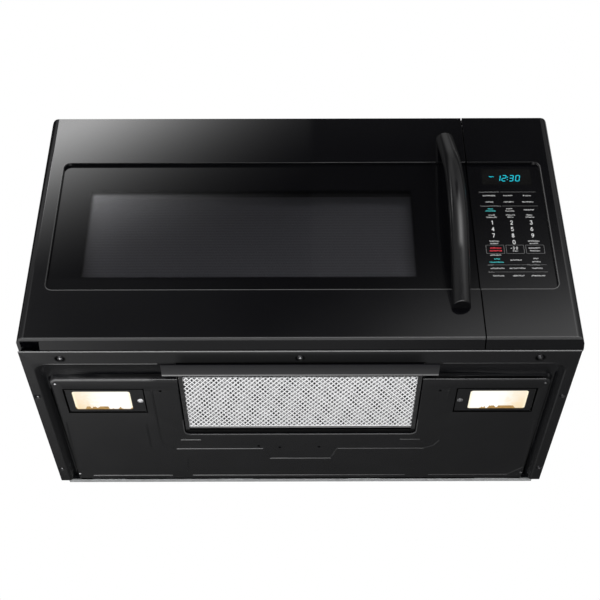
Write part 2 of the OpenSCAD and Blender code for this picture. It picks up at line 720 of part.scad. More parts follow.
module turntable_coupler() placed() color("#d8d5cc") translate([tray_x, tray_y, 0]) difference() {
    union() {
        translate([0, 0, cavity_z0 + 1]) cylinder(h = 12, r = 8);
        translate([0, 0, cavity_z0 + 5]) cylinder(h = 4, r = 13);
        for (a = [0:120:240]) rotate(a) translate([0, -3.5, cavity_z0 + 5])
            cube([19, 7, tray_z - cavity_z0 - 5 - gap]);
    }
    translate([0, 0, cavity_z0 - 1]) cylinder(h = 11 + gap, r = 3.5 + fit);
}

module roller_ring() placed() color("#d3d0c6") translate([tray_x, tray_y, 0]) {
    difference() {
        translate([0, 0, wheel_z - 3]) cylinder(h = 6, r = roller_track - 7);
        translate([0, 0, wheel_z - 4]) cylinder(h = 8, r = roller_track - 13);
    }
    for (a = [0:120:240]) rotate(a + 30) {
        translate([roller_track - 11, 0, wheel_z]) rotate([0, 90, 0]) cylinder(h = 19, r = 2);
        translate([roller_track + 5, 0, wheel_z]) rotate([0, 90, 0]) cylinder(h = 3, r = 3);
    }
    difference() {
        union() {
            for (a = [0:120:240]) rotate(a + 90) translate([24, -4, wheel_z - 3])
                cube([roller_track - 35, 8, 4]);
            translate([0, 0, wheel_z - 3]) cylinder(h = 4, r = 27);
        }
        translate([0, 0, wheel_z - 4]) cylinder(h = 8, r = 21);
    }
}

module roller(k) placed() color("#bdbab2") translate([tray_x, tray_y, wheel_z]) rotate(30 + 120 * k)
    translate([roller_track - 4, 0, 0]) rotate([0, 90, 0]) difference() {
        rotate_extrude()
            polygon([[0, 0], [roller_r - 1, 0], [roller_r, 1], [roller_r, 7], [roller_r - 1, 8], [0, 8]]);
        translate([0, 0, -1]) cylinder(h = 12, r = 2 + fit);
    }

module roller_1() roller(0);
module roller_2() roller(1);
module roller_3() roller(2);

module glass_tray() placed() color("#cfd8d8", 0.5) translate([tray_x, tray_y, tray_z]) {
    r = tray_d / 2;
    rotate_extrude($fn = 96) polygon([[0, 0], [r - 14, 0], [r - 4, 5], [r, 12], [r, 15], [r - 4, 15],
        [r - 8, 8], [r - 16, 4.5], [0, 4.5]]);
}

module cavity_lamp() placed() color("#efe6c8")
translate([cavity_x0 + 76, case_front + 48, cavity_z1 + sheet]) {
    cylinder(h = 3, r = 20);
    translate([0, 0, 3 - eps]) cylinder(h = 24, r = 10);
    translate([0, 0, 27 - 2 * eps]) cylinder(h = 14, r = 13);
}

// Door

module hinge_bosses() {
    rod_z(hinge_x, hinge_back, [notch_z, notch_z + 20], 8);
    rod_z(hinge_x, hinge_back, [top_notch_z - 18, top_notch_z], 8);
}

module latch_guides() for (x = [latch_x - latch_t / 2 - gap - 2.4, latch_x + latch_t / 2 + gap],
    z = [latch_low + 30, latch_high - 42])
    slab([x, x + 2.4], [field_depth + glass_t, shell_back - 1], [z, z + 26]);

// Collar that closes the space between the outer pane and the screen
module window_collar() tile([window[0] - 10 - moulding_t, window[1] + 10 + moulding_t],
    [field_depth + glass_t, hinge_back - 6],
    [window[2] - 10 - moulding_t, window[3] + 10 + moulding_t], 6 + moulding_t);

module door_frame() placed() color("#0f0f11") difference() {
    union() {
        difference() {
            door_block(0, shell_back);
            difference() {
                door_block(moulding_t, shell_back + 10);
                slab([-half_w, notch_x + moulding_t], [0, 60], [0, notch_z + moulding_t]);
                slab([-half_w, notch_x + moulding_t], [0, 60], [top_notch_z - moulding_t, case_h]);
            }
        }
        intersection() {
            door_block(0, shell_back);
            field_wall();
        }
        intersection() {
            door_block(0, shell_back);
            hinge_bosses();
        }
        latch_guides();
        window_collar();
        for (z = handle_bolt_z) rod_y(handle_x, [moulding_t, field_depth + glass_t + 4], z, 9);
    }
    field_cut(glass_t);
    tile([window[0] - 10, window[1] + 10], [0, 30], [window[2] - 10, window[3] + 10], 6);
    slab([-half_w - 1, notch_x], [2, 60], [0, notch_z]);
    slab([-half_w - 1, notch_x], [14, 60], [top_notch_z, case_h]);
    rod_z(hinge_x, hinge_back, [notch_z - 1, notch_z + 22], pin_r + fit);
    rod_z(hinge_x, hinge_back, [top_notch_z - 20, top_notch_z + 1], pin_r + fit);
    for (z = handle_bolt_z) rod_y(handle_x, [-1, 40], z, 2.6);
}

module door_glass() placed() color("#0b0b0d", 0.8) difference() {
    intersection() {
        tile([field_x0, field_x1], [field_depth, field_depth + glass_t], [field_z0, field_z1], field_r);
        slab([-half_w, door_x1], [0, 30], [0, case_h]);
    }
    for (z = handle_bolt_z) rod_y(handle_x, [0, 30], z, 3);
}

module inner_door_panel() placed() color("#55565a") difference() {
    x = [hinge_x + 14, latch_x - 14];
    z = [underside + 6, top_notch_z - 6];
    slab(x, [hinge_back - 6, shell_back], z);
    slab([x[0] + sheet, x[1] - sheet], [hinge_back - 6 + sheet, shell_back + 1],
        [z[0] + sheet, z[1] - sheet]);
}

module inner_window() placed() color("#202225", 0.6)
    tile([window[0] - 8, window[1] + 8], [hinge_back - 6 + sheet, hinge_back - 6 + sheet + 3],
        [window[2] - 8, window[3] + 8], 5);

module choke_cover() placed() color("#1b1b1e") difference() {
    intersection() {
        linear_extrude(case_h) door_plan(0, door_back);
        front_bar([-half_w, door_x1], 0, door_back);
        slab([-half_w, door_x1], [shell_back, door_back], [0, case_h]);
    }
    tile([window[0] - 12, window[1] + 12], [shell_back - 1, door_back + 1],
        [window[2] - 12, window[3] + 12], 8);
    for (z = [latch_low, latch_high]) slab([latch_x - latch_t / 2 - 1, latch_x + latch_t / 2 + 1],
        [shell_back - 1, door_back + 1], [z - 2, z + hook_h + latch_travel + 2]);
    slab([-half_w - 1, notch_x], [2, 60], [0, notch_z]);
    slab([-half_w - 1, notch_x], [14, 60], [top_notch_z, case_h]);
}

// One ring of the handle's tube: its centre's y and z, and the slope of the tube there
function bow_ring(y, z, slope) = [for (j = [0:bow_sides - 1]) let (a = j * 360 / bow_sides)
    [handle_r * cos(a), y + handle_r * sin(a) * cos(slope), z - handle_r * sin(a) * sin(slope)]];

// The tube's middle line is an arc that bulges towards -Y, with a straight run at each end
function bow_y(slope) = bow_r - handle_out - bow_r * cos(slope);

function bow_z(slope) = bow_r * sin(slope);

module handle_tube() {
    a = handle_slope;
    run = bow_end + 30;
    slopes = [for (i = [0:bow_steps]) -a + 2 * a * i / bow_steps];
    rings = concat([bow_ring(bow_y(a) + run * sin(a), bow_z(-a) - run * cos(a), -a)],
        [for (t = slopes) bow_ring(bow_y(t), bow_z(t), t)],
        [bow_ring(bow_y(a) + run * sin(a), bow_z(a) + run * cos(a), a)]);
    n = len(rings);
    m = bow_sides;
    polyhedron([for (r = rings) each r], concat(
        [[for (j = [0:m - 1]) j]],
        [for (i = [0:n - 2], j = [0:m - 1]) let (k = (j + 1) % m) each [
            [i * m + j, (i + 1) * m + k, i * m + k],
            [i * m + j, (i + 1) * m + j, (i + 1) * m + k]]],
        [[for (j = [m - 1:-1:0]) (n - 1) * m + j]]));
}

module handle() placed() color("#0d0d0f") difference() {
    union() {
        intersection() {
            translate([handle_x, 0, handle_z]) handle_tube();
            slab([handle_x - handle_d, handle_x + handle_d], [-depth_front - 1, 0],
                [handle_z0, handle_z0 + handle_len]);
        }
        for (z = handle_bolt_z) rod_y(handle_x, [-handle_r, 0], z, bolt_in - 3);
    }
    for (z = handle_bolt_z) rod_y(handle_x, [-16, 1], z, 2.5);
}

module handle_bolts() placed() color("#8d8f92") for (z = handle_bolt_z) {
    rod_y(handle_x, [-15.5, field_depth + glass_t + 4], z, 2.5 - eps);
    rod_y(handle_x, [field_depth + glass_t + 4, field_depth + glass_t + 8], z, 5);
}

// Latch

module latch_hook(z) {
    slab(latch_span, [shell_back - 3, case_front + hook_len], [z, z + hook_h]);
    difference() {
        slab(latch_span, [latch_wall + 1, case_front + hook_len], [z - latch_travel, z + 1]);
        translate([0, case_front + hook_len, z - latch_travel]) rotate([45, 0, 0])
            slab([latch_x - latch_t, latch_x + latch_t], [-latch_travel, latch_travel],
                [-latch_travel, latch_travel]);
    }
}

module door_latch() placed() color("#e4e1d6") {
    slab(latch_span, [shell_back - 9, shell_back - 2], [latch_low - 4, latch_high + hook_h + 4]);
    for (z = [latch_low, latch_high]) latch_hook(z);
}

module latch_body() placed() color("#e8e6dc") {
    x = [latch_span[0] - 5, latch_span[1] + 12];
    z = [latch_low - 18, latch_high + hook_h + 16];
    difference() {
        slab(x, [case_front + sheet, case_front + 46], z);
        slab([x[0] + 2.5, x[1] + 1], [latch_wall, case_front + 43], [z[0] + 3, z[1] - 3]);
        for (h = [latch_low, latch_high]) slab([latch_span[0] - 2.5, latch_span[1] + 2.5],
            [case_front, latch_wall + 1], [h - 1, h + hook_h + latch_travel + 2]);
    }
    rod_x([x[0] + 1, latch_x + 6], lever_y, lever_z, 1.5);
}

module interlock_switches() placed() color("#3b3b3e") for (z = [latch_low + 26, lever_z - 40]) {
    slab([latch_x - 2, latch_x + 8], [case_front + 29, case_front + 43], [z, z + 26]);
    rod_z(latch_x + 2, case_front + 38, [z + 26, z + 28], 1.5);
}

module interlock_lever() placed() color("#d23c2e") difference() {
    union() {
        rod_x([latch_x - 2, latch_x + 5], lever_y, lever_z, 3.6);
        slab([latch_x - 2, latch_x + 5], [lever_y - 1.6, lever_y + 1.6], [lever_z, lever_z + 15]);
        slab([latch_x - 2, latch_x + 5], [case_front + hook_len + 1, lever_y],
            [lever_z + 10, lever_z + 15]);
    }
    rod_x([latch_x - 3, latch_x + 7], lever_y, lever_z, 1.5 + fit);
}

// Hinges

module hinge_arm(z0, z1, leg0, leg1) {
    difference() {
        union() {
            rod_z(hinge_x, hinge_back, [z0, z1], 12);
            slab([hinge_x - 12, hinge_x + 14], [hinge_back, case_front + sheet + 2], [z0, z1]);
        }
        slab([-half_w - 20, -case_x + sheet + gap], [case_front - 0.4, case_front + 20], [z0 - 1, z1 + 1]);
    }
    slab([-case_x + sheet + gap, hinge_x + 14], [case_front + sheet, case_front + sheet + 2], [leg0, leg1]);
}

module hinge_lower() placed() color("#6b6c6e") {
    hinge_arm(2 * sheet, 6, 2 * sheet, 34);
    rod_z(hinge_x, hinge_back, [6 - eps, notch_z - gap], pin_r + 2.5);
    rod_z(hinge_x, hinge_back, [6 - eps, notch_z + 17], pin_r);
}

module hinge_upper() placed() color("#6b6c6e") {
    hinge_arm(top_notch_z + gap, top_notch_z + 3.3, top_notch_z - 26, top_notch_z + 3.3);
    rod_z(hinge_x, hinge_back, [top_notch_z - 16, top_notch_z + gap + eps], pin_r);
}

// Grease filter

module filter_frame() placed() color("#161618") difference() {
    pad([-filter_x, filter_x], [filter_front, filter_rear], [filter_z, filter_z + filter_t], 6);
    slab([-filter_x + filter_rail, filter_x - filter_rail],
        [filter_front + filter_rail, filter_rear - filter_rail],
        [filter_z - 1, filter_z + filter_t + 1]);
    slab([-filter_x + 1.2, filter_x - 1.2], [filter_front + 1.2, filter_rear - 1.2],
        [filter_z + 1.5, filter_z + filter_t - 1.2]);
}

module filter_mesh() placed() color("#c8cacc")
    slab([-filter_x + 1.3, filter_x - 1.3], [filter_front + 1.3, filter_rear - 1.3],
        [filter_z + 1.5, filter_z + 1.5 + mesh_t]);

// Lamps. The right one is drawn and the left one is its mirror.

module lamp_plate() difference() {
    union() {
        pad([lamp_in, lamp_out], [lamp_front, lamp_rear], [field_up, field_top], 2.8);
        both_ribs();
    }
    pad([lamp_in + 19, lamp_out - 9], [lamp_front + 6, lamp_rear - 5], [0, 20], 4);
    rod_z(lamp_in + 6, lamp_y, [0, 20], 2);
}

module both_ribs() for (y = [lamp_front + 3, lamp_rear - 4.2])
    slab([lamp_in + 16, lamp_out - 6], [y, y + 1.2], [field_top - eps, field_top + 2.6]);

module lens() pad([lamp_in + 17, lamp_out - 7], [lamp_front + 4.3, lamp_rear - 4.3],
    [field_top, field_top + 2.4], 4);

module lamp_housing() difference() {
    union() {
        slab([lamp_in - 1, lamp_in + 11], [lamp_y - 7, lamp_y + 7],
            [field_top + gap, field_top + gap + sheet]);
        slab([lamp_in - 6, lamp_out + 6], [lamp_front - 6, lamp_rear + 6], [field_top, field_top + sheet]);
        slab([lamp_in - 1.5, lamp_out + 1.5], [lamp_front - 1.5, lamp_rear + 1.5],
            [field_top, field_top + lamp_h]);
    }
    difference() {
        slab([lamp_in - 0.5, lamp_out + 0.5], [lamp_front - 0.5, lamp_rear + 0.5],
            [field_top - 1, field_top + lamp_h - 1]);
        slab([lamp_in - 1, lamp_in + 11], [lamp_y - 7, lamp_y + 7],
            [field_top + gap, field_top + gap + sheet]);
    }
    rod_z(lamp_in + 6, lamp_y, [field_top - 1, field_top + 5], 2.6);
}

module lamp_bulb() translate([lamp_in + 26, lamp_y, field_top + 22]) rotate([0, 90, 0]) rotate_extrude()
    polygon(concat([[0, 0], [6, 0], [6, 6]],
        [for (a = [-50:10:90]) [12 * cos(a), 24 + (a > 0 ? 24 : 14) * sin(a)]]));

module lamp_socket() translate([lamp_in - 0.5, lamp_y, field_top + 22]) rotate([0, 90, 0]) difference() {
    cylinder(h = 32, r = 11);
    translate([0, 0, 26.5 - gap]) cylinder(h = 10, r = 6.2);
}

module lamp_screw() translate([lamp_in + 6, lamp_y, field_up]) screw(4, 1.8, 5, 1.9);

module left_hand() mirror([1, 0, 0]) children();

module lamp_cover_left() placed() color("#1c1c1f") left_hand() lamp_plate();
module lamp_cover_right() placed() color("#1c1c1f") lamp_plate();
module lamp_lens_left() placed() color("#fff4dc", 0.6) left_hand() lens();
module lamp_lens_right() placed() color("#fff4dc", 0.6) lens();
module lamp_housing_left() placed() color("#c0c2c4") left_hand() lamp_housing();
module lamp_housing_right() placed() color("#c0c2c4") lamp_housing();
module lamp_bulbs() placed() color("#fff1cf") both() lamp_bulb();
module lamp_sockets() placed() color("#e9e4d8") both() lamp_socket();
module lamp_screw_left() placed() color("#9a9b9d") left_hand() lamp_screw();
module lamp_screw_right() placed() color("#9a9b9d") lamp_screw();

module base_screws() placed() color("#4a4b4e") {
    for (s = front_screws) translate([s[0], s[1], standoff - sheet]) screw(4.6, 1.6, 4.4, 1.8);
    for (s = side_screws, k = [-1, 1]) translate([k * s[0], s[1], standoff - sheet]) screw(3.4, 1.5, 8, 1.8);
    for (s = inner_screws, k = [-1, 1]) translate([k * s[0], s[1], field_up]) screw(3.4, 1.6, 6, 1.8);
}

// Wall plate and cord outlet

module wall_plate() placed() color("#b3b6b8") difference() {
    union() {
        slab([-case_x + 12, case_x - 12], [wall_y - sheet, wall_y], [1, case_h - 34]);
        slab([-case_x + 12, case_x - 12], [case_rear + 1, wall_y], [1, 1 + sheet]);
        for (x = tab_x, k = [-1, 1])
            slab([k * x - 26, k * x + 26], [case_rear + 0.2, case_rear + 1.2], [1, 12]);
        for (x = [-hook_x, hook_x]) slab([x - 13, x + 13], [case_rear - 6, wall_y], [hook_z, hook_z + 2]);
    }
    tile([-case_x + 148, case_x - 148], [wall_y - 5, wall_y + 1], [70, case_h - 100], 20);
    for (x = [58 - case_x, case_x - 58], z = [60, case_h - 90]) rod_y(x, [wall_y - 5, wall_y + 1], z, 4);
    for (x = tab_x, s = [-1, 1], k = [-7, 7]) rod_y(s * x + k, [case_rear - 1, case_rear + 2], 12, 3);
}

module cord_grommet() placed() color("#111113") translate([cord_x, cord_y, 0]) difference() {
    union() {
        translate([0, 0, case_h - 4]) cylinder(h = 4 - eps, r = cord_d / 2 + 4 - eps);
        translate([0, 0, case_h - 4]) cylinder(h = 4 - sheet, r = cord_d / 2 + 7);
    }
    translate([0, 0, case_h - 20]) cylinder(h = 30, r = cord_d / 2);
}

cover_sides();
cover_top();
rear_panel();
base_pan();
filter_lip();
cavity();
front_frame();
waveguide();
waveguide_cover();
magnetron();
hv_transformer();
hv_capacitor();
control_housing();
control_overlay();
display_module();
control_board();
vent_grille();
charcoal_filter();
blower_housing();
blower_motor();
blower_wheels();
fan_bracket();
fan_motor();
fan_blade();
turntable_motor();
turntable_coupler();
roller_ring();
roller_1();
roller_2();
roller_3();
glass_tray();
door_frame();
door_glass();
inner_window();
inner_door_panel();
choke_cover();
handle();
handle_bolts();
door_latch();
latch_body();
interlock_switches();
interlock_lever();
hinge_lower();
hinge_upper();
filter_frame();
filter_mesh();
lamp_cover_left();
lamp_cover_right();
lamp_lens_left();
lamp_lens_right();
lamp_housing_left();
lamp_housing_right();
lamp_bulbs();
lamp_sockets();
lamp_screw_left();
lamp_screw_right();
base_screws();
wall_plate();
cord_grommet();
cavity_lamp();
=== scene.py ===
"""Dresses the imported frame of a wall-hung microwave oven with a range hood.

It adds finishes, rounded press lines, the filter's mesh, the printed keypad, lit lamps, a stage and the camera.
"""

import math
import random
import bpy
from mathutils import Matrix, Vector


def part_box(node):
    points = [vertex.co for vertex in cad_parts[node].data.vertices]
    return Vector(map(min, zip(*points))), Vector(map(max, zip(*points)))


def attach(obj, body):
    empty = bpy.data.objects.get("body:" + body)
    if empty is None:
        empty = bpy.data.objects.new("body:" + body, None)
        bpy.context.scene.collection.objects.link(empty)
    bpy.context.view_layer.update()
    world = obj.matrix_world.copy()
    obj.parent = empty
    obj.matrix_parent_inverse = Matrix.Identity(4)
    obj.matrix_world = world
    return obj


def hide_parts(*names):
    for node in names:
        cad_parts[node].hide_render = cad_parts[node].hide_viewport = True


bl_info = {
    "name": "Over-the-range microwave",
    "version": (1, 0, 0),
    "blender": (4, 5, 0),
    "location": "View3D > Sidebar > Oven",
    "description": "Pieces and finishes of a wall-hung microwave oven with a range hood",
    "category": "Object",
}

import bmesh
import bpy
from bpy.props import FloatProperty, FloatVectorProperty, PointerProperty
from mathutils import Matrix, Vector

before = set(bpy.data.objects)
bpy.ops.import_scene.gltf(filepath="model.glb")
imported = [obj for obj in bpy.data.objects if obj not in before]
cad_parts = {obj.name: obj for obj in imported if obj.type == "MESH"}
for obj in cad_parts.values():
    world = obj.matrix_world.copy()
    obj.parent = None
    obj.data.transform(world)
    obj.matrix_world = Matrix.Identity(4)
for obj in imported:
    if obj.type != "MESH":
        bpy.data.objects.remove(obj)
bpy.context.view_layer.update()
MM = 0.001
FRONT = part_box("control_housing")[0].y  # row Y of the plane of the door's face
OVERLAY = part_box("control_overlay")[0].y  # row Y of the keypad's printed face
CAMERA_AHEAD, CAMERA_BELOW = 1.2987, 0.8889  # metres from the camera to the door's face and up to the base
WHITE = (1.0, 1.0, 1.0)


def at(x, y, z):
    """A point in the row frame from millimetres, with y counted from the plane of the door's face."""
    return Vector((x * MM, FRONT + y * MM, z * MM))


# Shader arithmetic


class Sock:
    """A shader socket that takes part in Python arithmetic."""

    def __init__(self, finish, socket):
        self.finish, self.socket = finish, socket

    def math(self, operation, *values):
        inputs = dict(enumerate(values))
        return self.finish.node("ShaderNodeMath", {"operation": operation}, inputs)

    def __add__(self, other):
        return self.math("ADD", self, other)

    __radd__ = __add__

    def __sub__(self, other):
        return self.math("SUBTRACT", self, other)

    def __rsub__(self, other):
        return self.math("SUBTRACT", other, self)

    def __mul__(self, other):
        return self.math("MULTIPLY", self, other)

    __rmul__ = __mul__

    def __truediv__(self, other):
        return self.math("DIVIDE", self, other)

    def __rtruediv__(self, other):
        return self.math("DIVIDE", other, self)

    def __gt__(self, other):
        return self.math("GREATER_THAN", self, other)

    def __lt__(self, other):
        return self.math("LESS_THAN", self, other)

    def __pow__(self, other):
        return self.math("POWER", self, other)

    def __mod__(self, other):
        return self.math("FLOORED_MODULO", self, other)

    def __abs__(self):
        return self.math("ABSOLUTE", self)

    def exp(self):
        return self.math("EXPONENT", self)

    def least(self, other):
        return self.math("MINIMUM", self, other)

    def most(self, other):
        return self.math("MAXIMUM", self, other)


def soft_step(value, width):
    """0 well below zero and 1 well above, over about four widths."""
    return 1 / (1 + (value * (-1 / width)).exp())


def between(value, low, high):
    return (value > low) * (value < high)


def share(value, ends):
    """0 to 1 over a range given in millimetres."""
    low, high = (v * MM for v in ends)
    return (value - low) / (high - low)


def region(level, *edges):
    """The level where every edge's value is above zero, fading over that edge's width."""
    for value, width in edges:
        level = level * soft_step(value, width)
    return level


def off_range(value, ends):
    """Distance outside a range given in millimetres, negative inside it."""
    low, high = (v * MM for v in ends)
    return abs(value - (low + high) / 2) - (high - low) / 2


def off_corner(side, ahead, radius):
    """Distance outside a rounded corner, from the distances past the starts of its arc."""
    return (side.most(0) ** 2 + ahead.most(0) ** 2) ** 0.5 + side.most(ahead).least(0) - radius


def off_outline(x, deep, shape):
    """Distance outside an outline of the base, given as half width, front and corner radius in millimetres."""
    half, front, radius = (v * MM for v in shape)
    return off_corner(abs(x) - (half - radius), front + radius - deep, radius)


def off_place(x, deep, place):
    """Distance in plan from a place in millimetres."""
    dx, dy = x - place[0] * MM, deep - place[1] * MM
    return (dx * dx + dy * dy) ** 0.5


def within(value, middle, reach):
    """1 near the middle and 0 beyond the reach, in a bell."""
    off = (value - middle) / reach
    return (0 - off * off).exp()


class Finish:
    """A node tree that is built from expressions."""

    def __init__(self, tree):
        self.tree = tree
        tree.nodes.clear()

    def feed(self, socket, value):
        if isinstance(value, Sock):
            self.tree.links.new(value.socket, socket)
        else:
            socket.default_value = (*value, 1.0) if socket.type == "RGBA" else value

    def node(self, kind, settings=None, inputs=None, output=0):
        made = self.tree.nodes.new(kind)
        for name, value in (settings or {}).items():
            setattr(made, name, value)
        for name, value in (inputs or {}).items():
            self.feed(made.inputs[name], value)
        return Sock(self, made.outputs[output])

    def place(self):
        return self.node("ShaderNodeTexCoord", output="Object")

    def axes(self, vector=None):
        """The three parts of a vector, by default of the place on the object in metres."""
        split = self.node("ShaderNodeSeparateXYZ", inputs={0: vector or self.place()})
        outputs = split.socket.node.outputs
        return [Sock(self, outputs[i]) for i in range(3)]

    def stretched(self, scale):
        return self.node("ShaderNodeMapping", {}, {"Vector": self.place(), "Scale": scale})

    def noise(self, size, detail=3.0, roughness=0.5, vector=None):
        """Noise whose blobs are about size metres across."""
        inputs = {"Vector": vector or self.place(), "Scale": 1 / size, "Detail": detail, "Roughness": roughness}
        return self.node("ShaderNodeTexNoise", {}, inputs)

    def cells(self, size, output="Distance", feature="F1"):
        inputs = {"Vector": self.place(), "Scale": 1 / size}
        return self.node("ShaderNodeTexVoronoi", {"feature": feature}, inputs, output)

    def grey_cells(self, size):
        """Cells that each have one even grey."""
        return self.node("ShaderNodeRGBToBW", {}, {0: self.cells(size, "Color")})

    def mix(self, factor, a, b):
        return self.node("ShaderNodeMix", {"data_type": "RGBA"}, {0: factor, 6: a, 7: b}, 2)

    def bump(self, height, distance, strength=1.0):
        return self.node("ShaderNodeBump", {}, {"Strength": strength, "Distance": distance, "Height": height})

    def principled(self, **inputs):
        named = {name.replace("_", " "): value for name, value in inputs.items()}
        return self.node("ShaderNodeBsdfPrincipled", {}, named)

    def coat(self, blend, tones, rough, normal=None, **rest):
        """A surface whose colour blends between two tones."""
        if normal:
            rest["Normal"] = normal
        return self.principled(Base_Color=self.mix(blend, *tones), Roughness=rough, **rest)

    def surface(self, shader, kind="ShaderNodeOutputMaterial"):
        self.tree.links.new(shader.socket, self.tree.nodes.new(kind).inputs["Surface"])


def material(name, build, *values):
    """The material of that name, built on first use."""
    made = bpy.data.materials.get(name)
    if made is None:
        made = bpy.data.materials.new(name)
        made.use_nodes = True
        finish = Finish(made.node_tree)
        finish.surface(build(finish, *values))
    return made


def colour(name):
    return tuple(getattr(bpy.context.scene.oven_colours, name))


def size(name):
    return getattr(bpy.context.scene.oven_sizes, name)


def scaled(tone, share):
    return tuple(min(0.95, c * share) for c in tone)


# Finishes


FIELD_X, FIELD_Z = (-350.0, 356.0), (91.0, 327.0)  # edges of the shallow field in the front
FIELD_ROUND = 0.010
WINDOW_X, WINDOW_Z = (-0.3042, 0.1627), (0.1165, 0.2758)  # edges of the clear window in the door's pane
SCREEN_X, SCREEN_Z = (-0.3095, 0.169), (0.09, 0.261)  # edges of the holed part of the door's screen
LENS_X, LENS_Y = (240.7, 322.7), (122.4, 171.0)  # edges of a lamp's window
LIP_Y = (50.4, 77.6)  # front and rear of the filter's lip
BOARD_FACE = 0.0317  # how far behind the door's face the parts on the circuit board begin


def gloss_black(f):
    """Piano-black moulding: a deep gloss with faint waviness and fine dust, with painted highlights round the field
    and along the bottom edge.
    """
    x, y, z = f.axes()
    waves, dust = f.noise(0.09, 2.0), f.noise(0.0016, 2.0)
    beside, above = off_range(x, FIELD_X), off_range(z, FIELD_Z)
    # Painted highlight: a pale line round the field, strongest along its bottom, less on its right and least on its
    # left, and a pale band along the front's bottom edge.
    edge = within(off_corner(beside + FIELD_ROUND, above + FIELD_ROUND, FIELD_ROUND), 0.0005, 0.0007)
    inset, fade = 0.003, 0.001
    tone = 0.002 + region(0.085, (FIELD_Z[0] * MM + inset - z, fade))
    tone = tone + region(0.07, (x - FIELD_X[1] * MM + inset, fade))
    tone = tone + region(0.03, (FIELD_X[0] * MM + inset - x, fade))
    painted_highlight = (edge * tone + 0.035 * (z < 0.0114)) * (y < FRONT + 0.0035)
    black = colour("gloss_black")
    return f.coat(
        painted_highlight,
        (f.mix(dust, black, scaled(black, 1.6)), WHITE),
        0.09 + waves * 0.05 + (dust > 0.72) * 0.06,
        f.bump(waves, 0.00025, 0.12),
    )


def satin_black(f):
    """Satin moulding of the handle, a little smoother in places from wear."""
    wear = f.noise(0.05, 3.0)
    normal = f.bump(f.noise(0.0007, 2.0), 0.00002, 0.3)
    return f.coat(wear, ((0.0022, 0.0022, 0.0026), (0.0035, 0.0035, 0.004)), 0.15 + wear * 0.06, normal)


def printed_glass(f):
    """The pane across the field: black print behind glass, clear inside the window."""
    x, _, z = f.axes()
    (left, right), (low, high) = WINDOW_X, WINDOW_Z
    inside = region(1, (x - left, 0.0011), (right - x, 0.0009), (z - low, 0.0006), (high - z, 0.0010))
    dust = f.noise(0.0012, 2.0)
    tones = (0.0012, 0.0012, 0.0015), (0.002, 0.002, 0.0025)
    ink = f.coat(dust, tones, 0.06 + dust * 0.03, Specular_IOR_Level=0.33)
    clear = f.node("ShaderNodeBsdfTransparent", {}, {"Color": (0.80, 0.80, 0.82)})
    sheen = f.node("ShaderNodeBsdfGlossy", {}, {"Color": WHITE, "Roughness": 0.05})
    fresnel = f.node("ShaderNodeFresnel", {}, {"IOR": 1.4})
    pane = f.node("ShaderNodeMixShader", {}, {0: fresnel, 1: clear, 2: sheen})
    return f.node("ShaderNodeMixShader", {}, {0: inside, 1: ink, 2: pane})


def clear_pane(f):
    """Dark flat glass that shows what is behind it, with a streak of dust."""
    dust = f.noise(0.004, 3.0)
    return f.coat(dust, ((0.10, 0.10, 0.11), (0.5, 0.5, 0.5)), 0.03 + dust * 0.05, Alpha=0.25 + dust * 0.08)


def cast_glass(f):
    """Tempered glass of the tray, slightly green, with a fine rolled surface."""
    rolled = f.noise(0.006, 2.0)
    tones = (0.82, 0.90, 0.87), (0.9, 0.94, 0.92)
    normal = f.bump(rolled, 0.0002, 0.4)
    return f.coat(rolled, tones, 0.04 + rolled * 0.08, normal, Transmission_Weight=0.9, IOR=1.5)


def enamel(f, tone, rough, grain=0.0011):
    """Baked black enamel on pressed steel: orange peel, with faint cloudy wear."""
    clouds = f.noise(0.07, 4.0, 0.6)
    specks = f.cells(0.0028) < 0.12
    normal = f.bump(f.noise(grain, 2.0), 0.00006, 0.5)
    return f.coat(clouds, (tone, scaled(tone, 1.7)), rough + clouds * 0.08 + specks * 0.06, normal)


def shaded(f, shade, shader):
    """The shader, with deep shade that mirrors nothing laid over it."""
    dark = f.node("ShaderNodeBsdfPrincipled", {}, {"Base Color": (0.001, 0.001, 0.001), "Specular IOR Level": 0.0})
    return f.node("ShaderNodeMixShader", {}, {0: shade, 1: shader, 2: dark})


def leftwards(x):
    """1 on the left of the base, where more light falls, and 0 on the right."""
    return soft_step(0.02 - x, 0.09)


